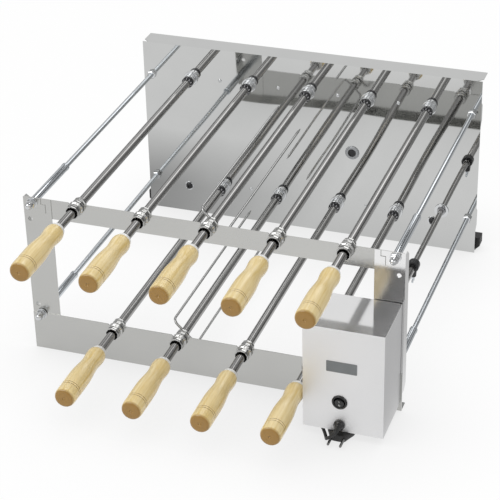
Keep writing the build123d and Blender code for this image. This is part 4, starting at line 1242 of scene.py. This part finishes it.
@dataclass
class Studio:
    """Camera, floor, lamps and world."""

    lens: float = 125.6856
    floor_size: float = 14.0
    floor_drop: float = 0.0005
    floor_glow: float = 0.97
    shade_reach: float = 0.20
    soft_light: float = 0.55
    right_dim: float = 0.55
    patch_dim: float = 0.03
    side_dim: float = 0.46
    side_band: Pair = (0.29, 0.35)
    left_dim: float = 0.60
    left_band: Pair = (-0.34, 0.0)
    left_depth: Pair = (0.02, 0.24)
    left_front: float = 0.06

    def build(self) -> None:
        """Set the whole studio up."""
        self.make_camera()
        self.make_floor()
        for lamp in LAMPS:
            self.make_lamp(*lamp)
        self.make_world()
        bpy.context.scene.view_settings.view_transform = "Standard"

    def make_camera(self) -> None:
        """The photograph's viewpoint."""
        data = bpy.data.cameras.new("photo_camera")
        data.lens = self.lens
        data.sensor_width = 36.0
        data.shift_x, data.shift_y = CAMERA_SHIFT
        data.clip_end = 60.0
        camera = stand("photo_camera", data)
        axes = Matrix((CAMERA_RIGHT, CAMERA_UP, CAMERA_BACK)).transposed()
        camera.matrix_world = Matrix.Translation(CAMERA_PLACE) @ axes.to_4x4()
        bpy.context.scene.camera = camera

    def make_lamp(self, name: str, place: Point, target: Point, size: float, power: float) -> None:
        """A square soft lamp that faces a point.

        Args:
            name: The lamp's name.
            place: Where it stands.
            target: The point.
            size: Its side in metres.
            power: Its watts.
        """
        data = bpy.data.lights.new(name, "AREA")
        data.size = size
        data.energy = power
        heading = (Vector(target) - Vector(place)).to_track_quat("-Z", "Y").to_matrix().to_4x4()
        stand(name, data).matrix_world = Matrix.Translation(place) @ heading

    def make_floor(self) -> None:
        """A pale floor that shows white to the camera and keeps the soft shadow."""
        form, half = Form(), self.floor_size / 2
        corners = ((-half, -half), (half, -half), (half, half), (-half, half))
        form.mesh.faces.new([form.mesh.verts.new((x, y, -self.floor_drop)) for x, y in corners])
        finish = Finish("pale_floor", (0.86, 0.86, 0.86))
        finish.feed("Roughness", 0.9)
        shades = (opaque((0.855, 0.855, 0.855)), opaque((0.865, 0.865, 0.865)))
        finish.feed("Base Color", finish.mix(finish.patches(3.0, 1.0), *shades))
        finish.feed("Specular IOR Level", 0.0)
        self.whiten(finish)
        form.shaded("floor", finish.material)

    def whiten(self, finish: Finish) -> None:
        """Show the floor nearly white to the eye and to metal, dimmed where the grill shades it.

        Args:
            finish: The floor's material.
        """
        shade = finish.add("AmbientOcclusion", (("Distance", self.shade_reach),))
        shade.samples = 12
        place = finish.axes()
        side = finish.ramp(place["X"], 0.0, self.side_dim, *self.side_band)
        left = finish.math("MULTIPLY", finish.ramp(place["X"], 1.0, 0.0, *self.left_band),
                           finish.ramp(place["Y"], self.left_front, self.left_dim, *self.left_depth))
        rays = finish.add("LightPath").outputs
        dim = finish.math("MULTIPLY", finish.math("MAXIMUM", side, left), rays["Is Glossy Ray"])
        strength = finish.math("MULTIPLY", finish.ramp(shade.outputs["AO"], low=0.80, high=1.0, start=0.25),
                               finish.math("SUBTRACT", 1.0, dim))
        glow = finish.add("Emission", (("Strength", strength),))
        seen = finish.math("MAXIMUM", finish.math("MAXIMUM", rays["Is Camera Ray"], rays["Is Glossy Ray"]),
                           rays["Is Transmission Ray"])
        shown = finish.blend(finish.math("MULTIPLY", seen, self.floor_glow), finish.shader, glow)
        finish.fill(finish.tree.nodes["Material Output"].inputs["Surface"], shown.outputs[0])

    def make_world(self) -> None:
        """White to the eye, a soft box with a dim ceiling to metal, and gentle for the object's light."""
        world = bpy.data.worlds.new("studio")
        bpy.context.scene.world = world
        world.use_nodes = True
        world.node_tree.nodes.clear()
        net = Wiring(world.node_tree)
        place = net.axes("Generated")
        rooms = []
        for steps in (ROOM_FRONT, ROOM_REAR):
            ramp = net.add("ValToRGB", ((0, place["Z"]),))
            stops = ramp.color_ramp.elements
            for index, (height, value) in enumerate(steps):
                stop = stops[index] if index < 2 else stops.new(height)
                stop.position = height
                stop.color = (value, value, value, 1)
            rooms.append(ramp.outputs[0])
        rearward = net.ramp(place["Y"], 0.0, 1.0, start=-0.2, end=0.3)
        white = ("Color", (1, 1, 1, 1))
        shown = net.add("Background", (white,))
        soft = net.add("Background", (white, ("Strength", self.soft_light)))
        room = net.add("Background", (("Color", net.mix(rearward, *rooms)),
                                      ("Strength", self.dimming(net, place, rearward))))
        rays = net.add("LightPath").outputs
        either = net.math("MAXIMUM", rays["Is Glossy Ray"], rays["Is Transmission Ray"])
        bright = net.blend(rays["Is Camera Ray"], net.blend(either, soft, room), shown)
        net.add("OutputWorld", (("Surface", bright.outputs[0]),))

    def dimming(self, net: Wiring, place: bpy.types.NodeOutputs, rearward: Socket) -> Socket:
        """How much of the room is left.

        Args:
            net: The world's wiring.
            place: The X, Y and Z of a direction.
            rearward: 0 in front of the grill, 1 behind it.

        Returns:
            A share: less at the rear right, and next to nothing in a patch at the front left.
        """
        patch = net.ramp(place["X"], 0.0, 1.0, start=-0.50, end=-0.42)
        for axis, low, high, start, end in (("X", 1.0, 0.0, -0.17, -0.10), ("Z", 0.0, 1.0, 0.40, 0.45),
                                            ("Z", 1.0, 0.0, 0.56, 0.60)):
            patch = net.math("MULTIPLY", patch, net.ramp(place[axis], low, high, start, end))
        right = net.ramp(place["X"], 1.0, self.right_dim, start=-0.05, end=0.12)
        return net.mix(rearward, net.ramp(patch, 1.0, self.patch_dim), right, "FLOAT")


def main() -> None:
    """Dress the whole grill."""
    logging.basicConfig(level=logging.INFO, format="%(message)s")
    Studio().build()
    CordAndPlug().build()
    for name, tier, spot in Layout.skewers():
        Skewer(name, tier, spot, name in FORKED).build()
    for part in (Ties(), FrameAndPanel(), DriveShaft(), MotorBox()):
        part.build()
    bpy.context.view_layer.update()


if __name__ == "__main__":
    main()
